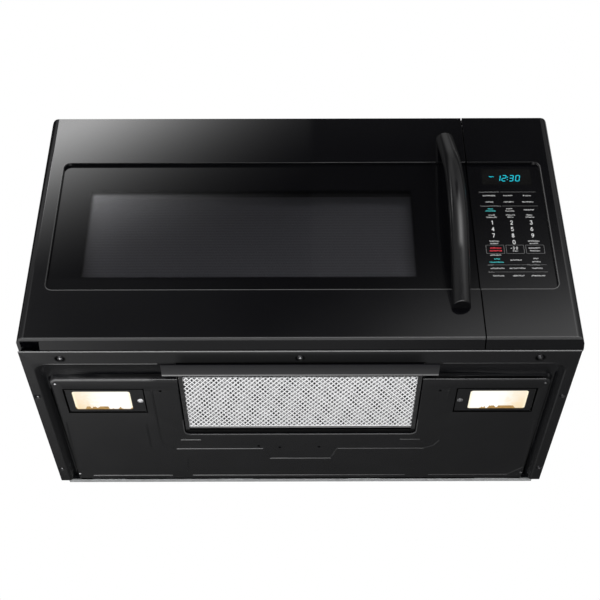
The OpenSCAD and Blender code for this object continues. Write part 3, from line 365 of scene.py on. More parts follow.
def pressed_enamel(f):
    """The base's enamel, with painted highlights along its press lines and painted shade in its gaps, holes and deep
    wall.
    """
    x, y, z = f.axes()
    deep, beside, lit = y - FRONT, abs(x), leftwards(x)
    channel, field = off_outline(x, deep, CHANNEL), off_outline(x, deep, FIELD)
    half, rear, radius = (v * MM for v in OPENING)
    mouth = off_corner(beside - (half - radius), deep - (rear - radius), radius)
    between_sides = soft_step(0.343 - beside, 0.004)
    # Painted highlights, in turn: the channel's edge, the field's front edge, the mouth's rear edge and the pan's
    # own edge, most of them brighter on the left.
    wear_and_highlight = within(channel, 0.0017, 0.0018) * between_sides * (0.04 + lit * 0.18) * (beside > 0.194)
    front_edge = region(0.007 + lit * 0.075, (0.1 - deep, 0.002), (beside - 0.207, 0.003))
    wear_and_highlight = wear_and_highlight + within(field, -0.0012, 0.0017) * front_edge
    wear_and_highlight = wear_and_highlight + within(mouth, 0.0008, 0.0008) * (deep > 0.2) * 0.04
    wear_and_highlight = wear_and_highlight + region(0.10 + lit * 0.05, ((PAN_FRONT + 1.6) * MM - deep, 0.0002))
    clouds = f.noise(0.07, 4.0, 0.6)
    tone = colour("base_enamel")
    tones = f.mix(clouds, tone, scaled(tone, 1.7)), WHITE
    shader = f.coat(wear_and_highlight, tones, 0.20 + clouds * 0.08, f.bump(f.noise(0.0011, 2.0), 0.00006, 0.5))
    # In deep shade, in turn: the field's wall, the lamp gaps, the holes, the dimples, the slot and the rear joint.
    shade = between(z, 0.0032, 0.0064) * between(field, -0.0005, 0.0034) * (1 - lit) * between_sides
    gap = (off_range(beside, GAP_X) / 0.0013).most(off_range(deep, GAP_Y) / 0.0019)
    shade = shade.most(between(gap, -0.5, 1))
    for place in DRAIN_HOLES:
        shade = shade.most(off_place(x, deep, place) < 0.0021)
    for place in FRONT_SCREWS:
        shade = shade.most(region(0.85, (0.0074 - off_place(x, deep, place), 0.0005)))
    slot = region(0.35 + (deep - 0.024) * 14, (0.165 - beside, 0.003), (deep - 0.0235, 0.0008)) * (deep < 0.052)
    rear = (deep > 0.3765) * (beside < 0.347)
    return shaded(f, shade.most(slot.least(0.75)).most(rear), shader)


def painted_highlight_bead(f):
    """Enamel of the beads that run across, with a painted highlight on their crests, brighter on the left."""
    x, _, z = f.axes()
    wear = f.noise(0.02, 3.0)
    level = region(0.022 + 0.13 * leftwards(x), (0.0027 - z, 0.0001))
    return f.coat(level * (0.8 + wear * 0.4), (colour("base_enamel"), WHITE), 0.2 + wear * 0.08)


def lip_enamel(f):
    """Enamel of the filter's lip, with painted light rising towards its rear edge, a painted highlight along that
    edge, brightest on the left, and painted shade over the slot ahead of it.
    """
    x, y, _ = f.axes()
    along = share(y - FRONT, LIP_Y)
    # Painted highlight along the rear edge, brighter on the left.
    edge = region(0.12 + region(0.08, (0 - x, 0.1)), (along - 0.885, 0.012))
    peel = f.noise(0.0012, 2.0)
    tones = (0.0, 0.0, 0.0015), WHITE
    normal = f.bump(peel, 0.00006, 0.4)
    # The level also rises towards the rear as painted light.
    shader = f.coat(0.003 + along.most(0) * 0.028 + edge, tones, 0.26 + peel * 0.05, normal)
    # Painted shade over the slot ahead of the lip.
    return shaded(f, y < FRONT + LIP_Y[0] * MM - 0.0001, shader)


def filter_rail(f):
    """Enamel of the filter's frame, whose rear rail lies in shade."""
    y = f.axes()[1]
    wear = f.noise(0.004, 3.0)
    shader = f.coat(wear, ((0.006, 0.006, 0.0065), (0.03, 0.03, 0.031)), 0.18 + wear * 0.1)
    return shaded(f, (y > FRONT + 0.2245) * 0.85, shader)


def galvanised(f, tone=(0.56, 0.57, 0.58)):
    """Zinc-coated sheet with spangle and streaks of rolling."""
    grey = f.grey_cells(0.007)
    streaks = f.noise(0.004, 3.0, vector=f.stretched((0.06, 1.0, 1.0)))
    normal = f.bump(streaks, 0.00005, 0.5)
    return f.coat(grey * 0.5 + streaks * 0.4, (tone, scaled(tone, 1.45)), 0.34 + grey * 0.16, normal, Metallic=0.3)


def bare_aluminium(f, tone):
    """Bright soft aluminium of the filter's strands, with fine drawing marks."""
    marks, tarnish = f.noise(0.0009, 3.0), f.noise(0.045, 3.0)
    tones = scaled(tone, 0.72), tone
    return f.coat(tarnish * 0.5 + marks * 0.5, tones, 0.24 + marks * 0.16, f.bump(marks, 0.0001, 0.3), Metallic=0.15)


def plated(f, tone, rough=0.3):
    """Zinc-plated or stamped steel of screws, motors and brackets."""
    wear_and_highlight = f.noise(0.003, 4.0, 0.7)
    normal = f.bump(wear_and_highlight, 0.00004, 0.5)
    return f.coat(wear_and_highlight, (scaled(tone, 0.7), tone), rough + wear_and_highlight * 0.15, normal, Metallic=0.9)


def moulded(f, tone, rough=0.45):
    """Plain moulded plastic with a fine spark-eroded texture."""
    grain = f.noise(0.0009, 2.0)
    normal = f.bump(grain, 0.00008, 0.4)
    return f.coat(f.noise(0.03, 3.0), (tone, scaled(tone, 0.82)), rough + grain * 0.12, normal)


def pale_enamel(f):
    """Speckled epoxy enamel of the oven's walls."""
    clouds = f.noise(0.08, 3.0)
    specks = (f.cells(0.0032) < 0.16) * 0.6
    tones = (0.62, 0.61, 0.57), (0.30, 0.30, 0.29)
    return f.coat(specks + clouds * 0.15, tones, 0.36 + clouds * 0.12, f.bump(clouds, 0.0002, 0.15))


def perforated(f):
    """Dark enamelled screen: rows of small holes over the window, plain elsewhere; the holes are painted darker as
    painted shade from the cavity behind.
    """
    x, _, z = f.axes()
    pitch, rise, radius = 0.0039, 0.0050, 0.0013
    row = z / rise
    shift = ((row - row % 1) % 2) * 0.5
    dx = ((x / pitch + shift) % 1 - 0.5) * pitch
    dz = (row % 1 - 0.5) * rise
    screen = between(x, *SCREEN_X) * between(z, *SCREEN_Z)
    # Painted shade in the holes.
    hole = ((dx * dx + dz * dz) < radius ** 2) * screen
    sheet = f.mix(screen, (0.05, 0.05, 0.052), (0.056, 0.056, 0.058))
    rough = 0.42 + f.noise(0.02, 3.0) * 0.12
    return f.coat(hole, (sheet, (0.030, 0.030, 0.031)), rough, f.bump(1 - hole, 0.0004, 0.4))


def frosted_lamp(f, side):
    """A lit lamp window: white over the bulb, warm at its outer end, with a bright frame and brown foil behind."""
    x, y, _ = f.axes()
    along, across = share(x * side, LENS_X), share(y - FRONT, LENS_Y)
    ripples = f.noise(0.009, 4.0, 0.65)
    warm = region(0.55 + across * 0.45, (along - 0.70 + (ripples - 0.5) * 0.5, 0.08))
    glow = f.mix(warm.least(1), (1.0, 1.0, 0.97), (0.88, 0.68, 0.40))
    edge = soft_step(abs(along - 0.5) - 0.468, 0.008).most(soft_step(0.05 - across, 0.012))
    framed = f.mix(edge * 0.85, glow, (1.0, 0.90, 0.66))
    ragged = f.noise(0.016, 3.0, 0.6, f.stretched((1.0, 0.2, 1.0)))
    foil = (across > 1.02 - (ragged - 0.44).most(0) * 1.5) * (across > 0.85)
    brown = f.mix(f.noise(0.005, 3.0), (0.16, 0.07, 0.015), (0.66, 0.42, 0.14))
    lit = f.mix(foil.most(soft_step(across - 0.985, 0.005)), framed, brown)
    tones = (0.05, 0.05, 0.045), (0.02, 0.01, 0.005)
    return f.coat(foil, tones, 0.3 + ripples * 0.15, Emission_Color=lit, Emission_Strength=1.0)


def frosted_bulb(f):
    """Frosted glass of a lit bulb."""
    mottle = f.noise(0.004, 2.0)
    lit = f.mix(mottle, (1.0, 0.86, 0.62), (1.0, 0.93, 0.78))
    rough = 0.4 + mottle * 0.1
    return f.principled(Base_Color=(0.95, 0.9, 0.8), Roughness=rough, Emission_Color=lit, Emission_Strength=1.6)


def lit_segments(f):
    """Glowing clock segments."""
    tone = colour("clock_light")
    lit = f.mix(f.noise(0.002, 2.0), tone, scaled(tone, 0.8))
    return f.principled(Base_Color=(0.0, 0.05, 0.06), Roughness=0.3, Emission_Color=lit, Emission_Strength=1.0)


def laminated(f):
    """Varnished core plates with the copper winding round their middle."""
    x, _, z = f.axes()
    plates, turns = (z * 1600) % 1, (x * 900) % 1
    winding = between(z, 0.021, 0.066)
    core = f.mix(plates, (0.10, 0.09, 0.085), (0.2, 0.19, 0.18))
    copper = f.mix(turns, (0.32, 0.12, 0.045), (0.5, 0.22, 0.09))
    normal = f.bump(plates * (1 - winding) + turns * winding, 0.0002, 0.5)
    return f.coat(winding, (core, copper), 0.4 + plates * 0.1, normal, Metallic=0.6)


def circuit_board(f):
    """Green lacquered board with pale tracks and dark parts."""
    tracks = (f.cells(0.006, feature="DISTANCE_TO_EDGE") < 0.05) * 0.6
    lacquer = f.mix(tracks, (0.015, 0.09, 0.03), (0.16, 0.30, 0.12))
    parts = f.axes()[1] > FRONT + BOARD_FACE
    return f.coat(parts, (lacquer, (0.03, 0.03, 0.035)), 0.35 + tracks * 0.1)


def carbon_pad(f):
    """Porous charcoal foam in its tray."""
    pores = f.cells(0.003)
    tones = (0.008, 0.008, 0.008), (0.06, 0.06, 0.062)
    return f.coat(pores, tones, 0.8 + pores * 0.1, f.bump(pores, 0.0012, 0.8))


def mica(f):
    """Mica sheet: flaky, silvery brown."""
    grey = f.grey_cells(0.009)
    tones = (0.50, 0.42, 0.28), (0.68, 0.62, 0.48)
    return f.coat(grey, tones, 0.3 + grey * 0.25, f.bump(grey, 0.0001, 0.5))


def display_window(f):
    """Tinted display window behind the overlay."""
    haze = f.noise(0.02, 2.0)
    return f.coat(haze, ((0.0016, 0.0016, 0.0016), (0.0028, 0.0028, 0.0027)), 0.11 + haze * 0.05)


def printed(f, tone, glow):
    """Silk-screen ink, with slightly ragged cover and a painted glow."""
    cover = f.noise(0.0006, 2.0)
    return f.coat(cover, (tone, scaled(tone, 0.7)), 0.4 + cover * 0.1, Emission_Color=tone, Emission_Strength=glow)


# Mesh helpers


def piece(name, bm, body, finish, smooth=35.0, wall=0.0):
    """Makes a shown piece of a bmesh that is in its place, and rides it on a body. A wall gives it thickness."""
    mesh = bpy.data.meshes.new(name)
    bm.to_mesh(mesh)
    bm.free()
    mesh.materials.append(finish)
    mesh.shade_smooth()
    mesh.set_sharp_from_angle(angle=math.radians(smooth))
    made = bpy.data.objects.new(name, mesh)
    bpy.context.scene.collection.objects.link(made)
    if wall:
        made.modifiers.new("wall", "SOLIDIFY").thickness = wall
    made.modifiers.new("flat faces", "WEIGHTED_NORMAL").keep_sharp = True
    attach(made, body)
    return made


def paint(finish, *nodes):
    """Gives CAD nodes their finish."""
    for name in nodes:
        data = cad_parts[name].data
        data.materials.clear()
        data.materials.append(finish)


def soften(node, width, segments=2, angle=25.0):
    """Rounds a CAD node's edges with modifiers, which leave its own mesh alone."""
    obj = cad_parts[node]
    weld = obj.modifiers.new("join", "WELD")
    weld.merge_threshold = 1e-5
    flat = obj.modifiers.new("flatten", "DECIMATE")
    flat.decimate_type = "DISSOLVE"
    flat.angle_limit = math.radians(1.0)
    edge = obj.modifiers.new("edge", "BEVEL")
    edge.width = width
    edge.segments = segments
    edge.limit_method = "ANGLE"
    edge.angle_limit = math.radians(angle)
    edge.harden_normals = True
    edge.use_clamp_overlap = True


def spans(*ranges):
    return [high - low for low, high in ranges]


def middles(*ranges):
    return [(low + high) / 2 for low, high in ranges]


def loop(bm, x, y, z, radius):
    """The edges of one rounded rectangle in plan: x and y are ranges in millimetres."""
    before = set(bm.faces)
    made = bmesh.ops.create_grid(bm, x_segments=1, y_segments=1, size=0.5)["verts"]
    bmesh.ops.scale(bm, vec=(*(span * MM for span in spans(x, y)), 1), verts=made)
    bmesh.ops.translate(bm, vec=at(*middles(x, y), z), verts=made)
    if radius > 0:
        bmesh.ops.bevel(bm, geom=made, offset=radius * MM, segments=8, profile=0.5, affect="VERTICES", material=-1)
    face = next(iter(set(bm.faces) - before))
    edges = list(face.edges)
    bmesh.ops.delete(bm, geom=[face], context="FACES_ONLY")
    return edges


def ring(bm, x, y, z, radius, sides=20):
    """The edges of a circle in plan, in millimetres."""
    made = bmesh.ops.create_circle(bm, cap_ends=False, radius=radius * MM, segments=sides)["verts"]
    bmesh.ops.translate(bm, vec=at(x, y, z), verts=made)
    return list({edge for vert in made for edge in vert.link_edges})


def join(bm, loops):
    """Walls between each edge loop and the next."""
    for a, b in zip(loops, loops[1:]):
        bmesh.ops.bridge_loops(bm, edges=a + b)


def fill(bm, *loops):
    """A flat face inside the first loop and round the others."""
    edges = [edge for one in loops for edge in one]
    return bmesh.ops.triangle_fill(bm, use_beauty=True, use_dissolve=False, edges=edges, normal=(0, 0, -1))


def cut(bm, co, normal, clear=True):
    """Cuts along a plane and removes what lies beyond it, unless clear is false."""
    geom = bm.verts[:] + bm.edges[:] + bm.faces[:]
    bmesh.ops.bisect_plane(bm, geom=geom, plane_co=co, plane_no=normal, clear_outer=clear)


def turn_out(bm, downwards=False):
    bmesh.ops.remove_doubles(bm, verts=bm.verts, dist=1e-6)
    bmesh.ops.recalc_face_normals(bm, faces=bm.faces)
    if downwards and sum(f.normal.z * f.calc_area() for f in bm.faces) > 0:
        bmesh.ops.reverse_faces(bm, faces=bm.faces)


def slab(bm, x, y, z):
    """A box from ranges in millimetres."""
    made = bmesh.ops.create_cube(bm, size=1.0)["verts"]
    bmesh.ops.scale(bm, vec=[span * MM for span in spans(x, y, z)], verts=made)
    bmesh.ops.translate(bm, vec=at(*middles(x, y, z)), verts=made)
    return made


# Base


CASE_HALF, PAN_FRONT, CASE_REAR = 378.0, 17.4, 380.0  # half width, front and rear of the pan
CHANNEL = (361.6, 50.0, 18.0)  # half width, front and corner radius of the channel
FIELD = (348.8, 91.0, 9.0)  # the same of the middle field
OPENING = (171.0, 241.0, 9.0)  # half width, rear and corner radius of the filter opening
CHANNEL_TOP, FIELD_LOW = 10.0, 3.0  # heights of the channel's floor and of the field
LAMP_X, LAMP_Y = (221.7, 331.7), (116.4, 176.0)  # the lamp covers' edges
GAP_X, GAP_Y = (221.3, 333.0), (115.9, 176.6)  # edges of the holes that they sit in
MOUTH = (44.5, 125.0)  # where the filter opening runs forward through the channel
BEHIND = 440.0  # the outlines run on past the rear edge and are cut there
FRONT_SCREWS = [(-324, 34.5), (0, 34.5), (324, 34.5)]
SIDE_SCREWS = [(370.8, 131), (370.8, 342)]
DRAIN_HOLES = [(-197, 120), (197, 120), (-63, 276), (-31, 280), (28, 279)]
REAR_BEAD = ((-168, 368), (163, 368))
BEADS = [  # the rest, which are the same on both sides
    [(342.8, 204), (346.8, 345), (324.8, 368), (202, 368)],
    [(226, 210), (226, 278)],
    [(209, 120), (209, 260), (202, 275), (187, 284), (56, 284), (46, 314), (0, 314)],
    [(150, 257), (178, 257)],
    [(172, 305), (176, 355)],
]
SCREW_DOMES = [  # place, radius and lowest point of the screws' round heads
    ((324, 34.5), 3.9, 0.2),
    ((0, 34.5), 3.9, 0.2),
    ((370.8, 131), 2.6, 0.2),
    ((370.8, 342), 2.6, 0.2),
    ((341.8, 100), 2.7, 1.0),
    ((345.8, 361), 2.7, 1.0),
]


def outline(bm, shape, grow, z, rear=BEHIND):
    half, front, radius = shape
    return loop(bm, (-half - grow, half + grow), (front - grow, rear + grow), z, radius + grow)


def dimple(bm, x, y, radius, z, depth):
    """A shallow round cup pressed upwards round a screw. Returns its outer edge."""
    rim = ring(bm, x, y, z, radius)
    steps = [ring(bm, x, y, z + depth * k, radius - r) for r, k in ((0.5, 0.15), (1.0, 0.85), (1.5, 1.0))]
    join(bm, [rim, *steps])
    bmesh.ops.contextual_create(bm, geom=steps[-1])
    return rim


def pressed_pan(bm):
    """The pan's skin: rim, channel, raised field and openings, with rounded press lines."""
    r = size("press_radius") / MM
    edge = [
        loop(bm, (-CASE_HALF + k, CASE_HALF - k), (PAN_FRONT + k, BEHIND), z, 1.2)
        for k, z in ((0, 1.2), (0.1, 0.6), (0.35, 0.2), (0.9, 0.0))
    ]
    join(bm, edge)
    walls = [outline(bm, CHANNEL, g * r, z * r) for g, z in ((1.0, 0.0), (0.5, 0.09), (0.05, 0.38))]
    walls.append(outline(bm, CHANNEL, -8.0, CHANNEL_TOP))
    join(bm, walls)
    inner = [outline(bm, FIELD, 3.0, CHANNEL_TOP)]
    inner += [outline(bm, FIELD, g * r, FIELD_LOW + z * r) for g, z in ((-0.05, 0.38), (-0.5, 0.09), (-1.0, 0.0))]
    join(bm, inner)
    bmesh.ops.bridge_loops(bm, edges=walls[-1] + inner[0])
    cups = [dimple(bm, x, y, 6.8, 0, 1.6) for x, y in FRONT_SCREWS]
    cups += [dimple(bm, k * x, y, 5.0, 0, 1.6) for x, y in SIDE_SCREWS for k in (-1, 1)]
    fill(bm, edge[-1], walls[0], *cups)
    half, rear, radius = OPENING
    mouth = [
        loop(bm, (-half - g, half + g), (110 - g, rear + g), z, radius + g)
        for g, z in ((1.4, FIELD_LOW), (0.6, 3.15), (0.1, 3.7), (0.0, 12.6))
    ]
    join(bm, mouth)
    lamps = []
    for k in (-1, 1):
        left, right = sorted(k * x for x in GAP_X)
        rims = [
            loop(bm, (left - g, right + g), (GAP_Y[0] - g, GAP_Y[1] + g), z, 3 + g)
            for g, z in ((0.15, FIELD_LOW), (0.0, 3.15), (0.0, 5.2))
        ]
        join(bm, rims)
        lamps.append(rims[0])
    holes = [ring(bm, x, y, FIELD_LOW, 1.7, 12) for x, y in DRAIN_HOLES]
    fill(bm, inner[-1], mouth[0], *lamps, *holes)


def mouth_front(bm):
    """Opens the mouth through the channel to the lip."""
    half = OPENING[0] * MM
    for x in (half, -half):
        cut(bm, (x, 0, 0), (1, 0, 0), clear=False)
    for y in MOUTH:
        cut(bm, at(0, y, 0), (0, 1, 0), clear=False)
    y0, y1 = (at(0, y, 0).y for y in MOUTH)
    centres = [(face, face.calc_center_median()) for face in bm.faces]
    gone = [face for face, c in centres if abs(c.x) < half - 1e-6 and y0 < c.y < y1]
    bmesh.ops.delete(bm, geom=gone, context="FACES")
    for k in (-1, 1):
        slab(bm, sorted((k * OPENING[0], k * (OPENING[0] + 1.2))), (79.6, MOUTH[1]), (3.4, 12.6))


def capsule(bm, a, b, z, width, height):
    """A raised bead from a to b: half a ball pulled out lengthwise."""
    a, b = Vector(a), Vector(b)
    run = b - a
    made = bmesh.ops.create_uvsphere(bm, u_segments=12, v_segments=6, radius=1.0)["verts"]
    bmesh.ops.scale(bm, vec=(width / 2 * MM, width / 2 * MM, height * MM), verts=made)
    far = [v for v in made if v.co.x > 1e-7]
    bmesh.ops.translate(bm, vec=(run.length * MM, 0, 0), verts=far)
    turn = Matrix.Rotation(math.atan2(run.y, run.x), 4, "Z")
    bmesh.ops.transform(bm, matrix=Matrix.Translation(at(a.x, a.y, z)) @ turn, verts=made)


def dome(bm, x, y, radius, low, height):
    """The round head of a screw, seen from below."""
    made = bmesh.ops.create_uvsphere(bm, u_segments=16, v_segments=8, radius=1.0)["verts"]
    bmesh.ops.scale(bm, vec=(radius * MM, radius * MM, height * MM), verts=made)
    bmesh.ops.translate(bm, vec=at(x, y, low + height), verts=made)


def press_beads(finish):
    """The raised beads, in one piece for those that run across and one for the rest."""
    width = size("bead_width") / MM
    along, across = bmesh.new(), bmesh.new()
    for points in BEADS:
        for a, b in zip(points, points[1:]):
            for k in (-1, 1):
                capsule(across if a[1] == b[1] else along, (k * a[0], a[1]), (k * b[0], b[1]), FIELD_LOW, width, 1.2)
    capsule(across, *REAR_BEAD, FIELD_LOW, width, 1.2)
    piece("base_beads_along", along, "case", finish, 60.0)
    # The beads that run across carry a painted highlight.
    piece("base_beads_across", across, "case", material("rubbed beads", painted_highlight_bead), 60.0)


def screw_heads(side, k, finish):
    """The round heads of the screws on one side, and of the one that holds the lamp cover there."""
    bm = bmesh.new()
    for (x, y), wide, low in SCREW_DOMES:
        if x or k < 0:
            dome(bm, k * x, y, wide, low, 1.9)
    piece(f"base_screw_domes_{side}", bm, "case", finish, 60.0)
    bm = bmesh.new()
    low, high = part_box(f"lamp_screw_{side}")
    middle = (low + high) / 2
    dome(bm, middle.x / MM, (middle.y - FRONT) / MM, 4.3, low.z / MM - 0.3, 1.7)
    piece(f"lamp_screw_dome_{side}", bm, f"lamp_flap_{side}", finish, 60.0)


def gap_seals():
    """Near-black strips over the gaps round the lamp covers, as painted shade."""
    bm = bmesh.new()
    height = (4.4, 5.0)
    for k in (-1, 1):
        for x in (LAMP_X[0] - 0.8, LAMP_X[1]):
            slab(bm, sorted((k * x, k * (x + 1.6))), (LAMP_Y[0] - 1, LAMP_Y[1] + 1), height)
        for y in (LAMP_Y[0] - 0.8, LAMP_Y[1] - 0.2):
            slab(bm, sorted((k * LAMP_X[0], k * LAMP_X[1])), (y, y + 1), height)
    piece("gap_seals", bm, "case", material("rubber", moulded, (0.002, 0.002, 0.002), 0.8))


class OVEN_OT_base_pan(bpy.types.Operator):
    """Pressed base pan with rounded press lines, in place of its plain solid"""

    bl_idname = "oven.base_pan"
    bl_label = "Base pan"

    def execute(self, context):
        finish = material("base enamel", enamel, colour("base_enamel"), 0.20)
        bm = bmesh.new()
        pressed_pan(bm)
        mouth_front(bm)
        cut(bm, at(0, CASE_REAR, 0), (0, 1, 0))
        turn_out(bm, downwards=True)
        pressed = material("pressed enamel", pressed_enamel)
        pan = piece("base_pan_pressed", bm, "case", pressed, 50.0, 0.0008)
        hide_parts("base_pan")
        press_beads(finish)
        # Painted light and shade: the screw heads on the left get a pale zinc and those on the right a dark one.
        screw_heads("left", -1, material("bright screws", galvanised, (0.62, 0.62, 0.63)))
        screw_heads("right", 1, material("dim screws", galvanised, (0.10, 0.10, 0.102)))
        bm = bmesh.new()
        slab(bm, (-361, 361), (CASE_REAR - 1.2, CASE_REAR), (FIELD_LOW, 14.0))
        piece("base_rear_flange", bm, "case", finish)
        # Painted shade in the gaps round the lamp covers.
        gap_seals()
        return {"FINISHED"}


# Grease filter


MESH_SIDES = ((165.6, 0, (1, 0)), (-166.8, 0, (-1, 0)), (0, 86.5, (0, -1)), (0, 219.0, (0, 1)))  # x, y and outwards
MESH_MIDDLE = 151.3
MESH_SPAN = (350, 180)  # more than the mesh spans, so that it can be turned and then cut


def expanded_layer(bm, across, along, z, turn, strand, rise):
    """One sheet of expanded metal: diamonds whose rims slope, clipped to the filter's opening."""
    a, b = across / 2 * MM, along / 2 * MM
    corners = [bm.verts.new(p) for p in ((a, 0, 0), (0, b, 0), (-a, 0, 0), (0, -b, 0))]
    bm.faces.new(corners)
    nx, ny = int(MESH_SPAN[0] / across) + 2, int(MESH_SPAN[1] / along) + 2
    for dvec, steps in (((a, b, 0), 1), ((2 * a, 0, 0), nx), ((0, 2 * b, 0), ny)):
        geom = bm.verts[:] + bm.edges[:] + bm.faces[:]
        bmesh.ops.spin(bm, geom=geom, angle=0, axis=(0, 0, 1), dvec=dvec, steps=steps, use_duplicate=True)
    bmesh.ops.remove_doubles(bm, verts=bm.verts, dist=1e-6)
    bmesh.ops.translate(bm, vec=(-nx * a, -ny * b, 0), verts=bm.verts)
    bmesh.ops.rotate(bm, cent=(0, 0, 0), matrix=Matrix.Rotation(turn, 3, "Z"), verts=bm.verts)
    bmesh.ops.translate(bm, vec=at(0, MESH_MIDDLE, z), verts=bm.verts)
    for x, y, outwards in MESH_SIDES:
        cut(bm, at(x, y, 0), (*outwards, 0))
    inset = bmesh.ops.inset_individual(bm, faces=bm.faces[:], thickness=strand * MM, depth=rise * MM)
    rims = set(inset["faces"])
    bmesh.ops.delete(bm, geom=[face for face in bm.faces if face not in rims], context="FACES")
    bmesh.ops.recalc_face_normals(bm, faces=bm.faces)


class OVEN_OT_filter(bpy.types.Operator):
    """Layers of expanded aluminium mesh, in place of the filter's plain sheet"""

    bl_idname = "oven.filter_mesh"
    bl_label = "Grease filter"

    def execute(self, context):
        bright = material("bare aluminium", bare_aluminium, colour("aluminium"))
        # Painted shade: the second layer is a half-dark copy of the aluminium and the third a near-black one, as if
        # shaded by the layers in front.
        shaded_metal = material("shaded aluminium", bare_aluminium, (0.50, 0.50, 0.51))
        painted_shade_metal = material("dull aluminium", bare_aluminium, (0.02, 0.02, 0.02))
        cell = size("mesh_cell") / MM
        layers = (  # cell across and along, height, turn, strand width and finish
            (cell, cell * 1.42, 3.2, 0.02, 1.35, bright),
            (cell * 0.80, cell * 1.70, 4.5, -0.035, 1.15, shaded_metal),
            (cell * 0.6, cell * 1.3, 5.9, 0.05, 1.55, painted_shade_metal),
        )
        for number, (across, along, z, turn, strand, finish) in enumerate(layers, 1):
            bm = bmesh.new()
            expanded_layer(bm, across, along, z, turn, strand, 0.5)
            name = f"filter_mesh_layer_{number}"
            made = piece(name, bm, "grease_filter", finish, 20.0, 0.00018)
            if number == 1:
                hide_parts("filter_mesh")
        bm = bmesh.new()
        slab(bm, (-167, 167), (220.8, 222.6), (2.7, 3.3))
        border = material("dull border", bare_aluminium, (0.2, 0.2, 0.2))
        piece("filter_mesh_border", bm, "grease_filter", border)
        paint(material("filter rail", filter_rail), "filter_frame")
        paint(material("lip enamel", lip_enamel), "filter_lip")
        soften("filter_frame", 0.0012, 3)
        soften("filter_lip", 0.0005)
        return {"FINISHED"}


# Lamps


class OVEN_OT_lamps(bpy.types.Operator):
    """Lamp covers, lit windows, bulbs, sockets and housings"""

    bl_idname = "oven.lamps"
    bl_label = "Lamps"

    def execute(self, context):
        paint(material("base enamel", enamel, colour("base_enamel"), 0.20), "lamp_cover_left", "lamp_cover_right")
        for name, side in (("left", -1), ("right", 1)):
            soften(f"lamp_cover_{name}", 0.0004)
            paint(material(f"lit window {name}", frosted_lamp, side), f"lamp_lens_{name}")
        paint(material("lit bulb", frosted_bulb), "lamp_bulbs")
        paint(material("ceramic", moulded, (0.75, 0.72, 0.64)), "lamp_sockets", "cavity_lamp")
        paint(material("galvanised", galvanised), "lamp_housing_left", "lamp_housing_right")
        return {"FINISHED"}


# Case


class OVEN_OT_case(bpy.types.Operator):
    """Sheet metal of the case, the wall plate and the top grille"""

    bl_idname = "oven.case"
    bl_label = "Case"

    def execute(self, context):
        case_enamel = material("case enamel", enamel, colour("case_enamel"), 0.26, 0.0016)
        paint(case_enamel, "cover_sides", "cover_top", "front_frame")
        paint(material("galvanised", galvanised), "rear_panel", "waveguide", "blower_housing", "fan_bracket")
        paint(material("bright zinc", galvanised, (0.325, 0.33, 0.335)), "wall_plate")
        paint(material("satin plastic", moulded, (0.012, 0.012, 0.013), 0.36), "vent_grille")
        dark_zinc = material("dark zinc", plated, (0.09, 0.09, 0.095), 0.12)
        paint(dark_zinc, "base_screws", "lamp_screw_left", "lamp_screw_right", "hinge_lower", "hinge_upper")
        paint(dark_zinc, "handle_bolts")
        paint(material("rubber", moulded, (0.002, 0.002, 0.002), 0.8), "cord_grommet")
        soften("cover_sides", 0.0004)
        soften("wall_plate", 0.0003)
        soften("vent_grille", 0.0008)
        return {"FINISHED"}


# Door


class OVEN_OT_door(bpy.types.Operator):
    """Moulded door with its panes, screen and choke cover"""

    bl_idname = "oven.door"
    bl_label = "Door"

    def execute(self, context):
        gloss = material("gloss black", gloss_black)
        paint(gloss, "door_frame", "control_housing")
        paint(material("printed glass", printed_glass), "door_glass")
        paint(material("inner pane", clear_pane), "inner_window")
        paint(material("perforated screen", perforated), "inner_door_panel")
        paint(material("choke plastic", moulded, (0.014, 0.014, 0.015), 0.34), "choke_cover")
        paint(material("white acetal", moulded, (0.72, 0.72, 0.68)), "door_latch", "latch_body")
        for name in ("door_frame", "control_housing"):
            soften(name, size("edge_radius"), 3)
        soften("choke_cover", 0.0008)
        return {"FINISHED"}


# Handle


HANDLE_X, HANDLE_OUT = 218.5, 57.5  # the tube's place across the door and its furthest middle line before it
HANDLE_MIDDLE, HANDLE_ENDS = 215.0, (58, 372)
HANDLE_TUBE = 13
HANDLE_HALF, HANDLE_RISE = 157.0, 55.5  # half the height of the bow and how far it stands out over it
HANDLE_SLOPE = 26.5  # degrees, of the straight runs
HANDLE_SPILL = 30  # the straight runs go on past their ends and are cut there


def pull(bm, edges, by):
    """Extrudes an edge loop by a vector. Returns the far loop."""
    made = bmesh.ops.extrude_edge_only(bm, edges=edges)["geom"]
    verts = [part for part in made if isinstance(part, bmesh.types.BMVert)]
    bmesh.ops.translate(bm, vec=by, verts=verts)
    return [part for part in made if isinstance(part, bmesh.types.BMEdge) and all(v in verts for v in part.verts)]


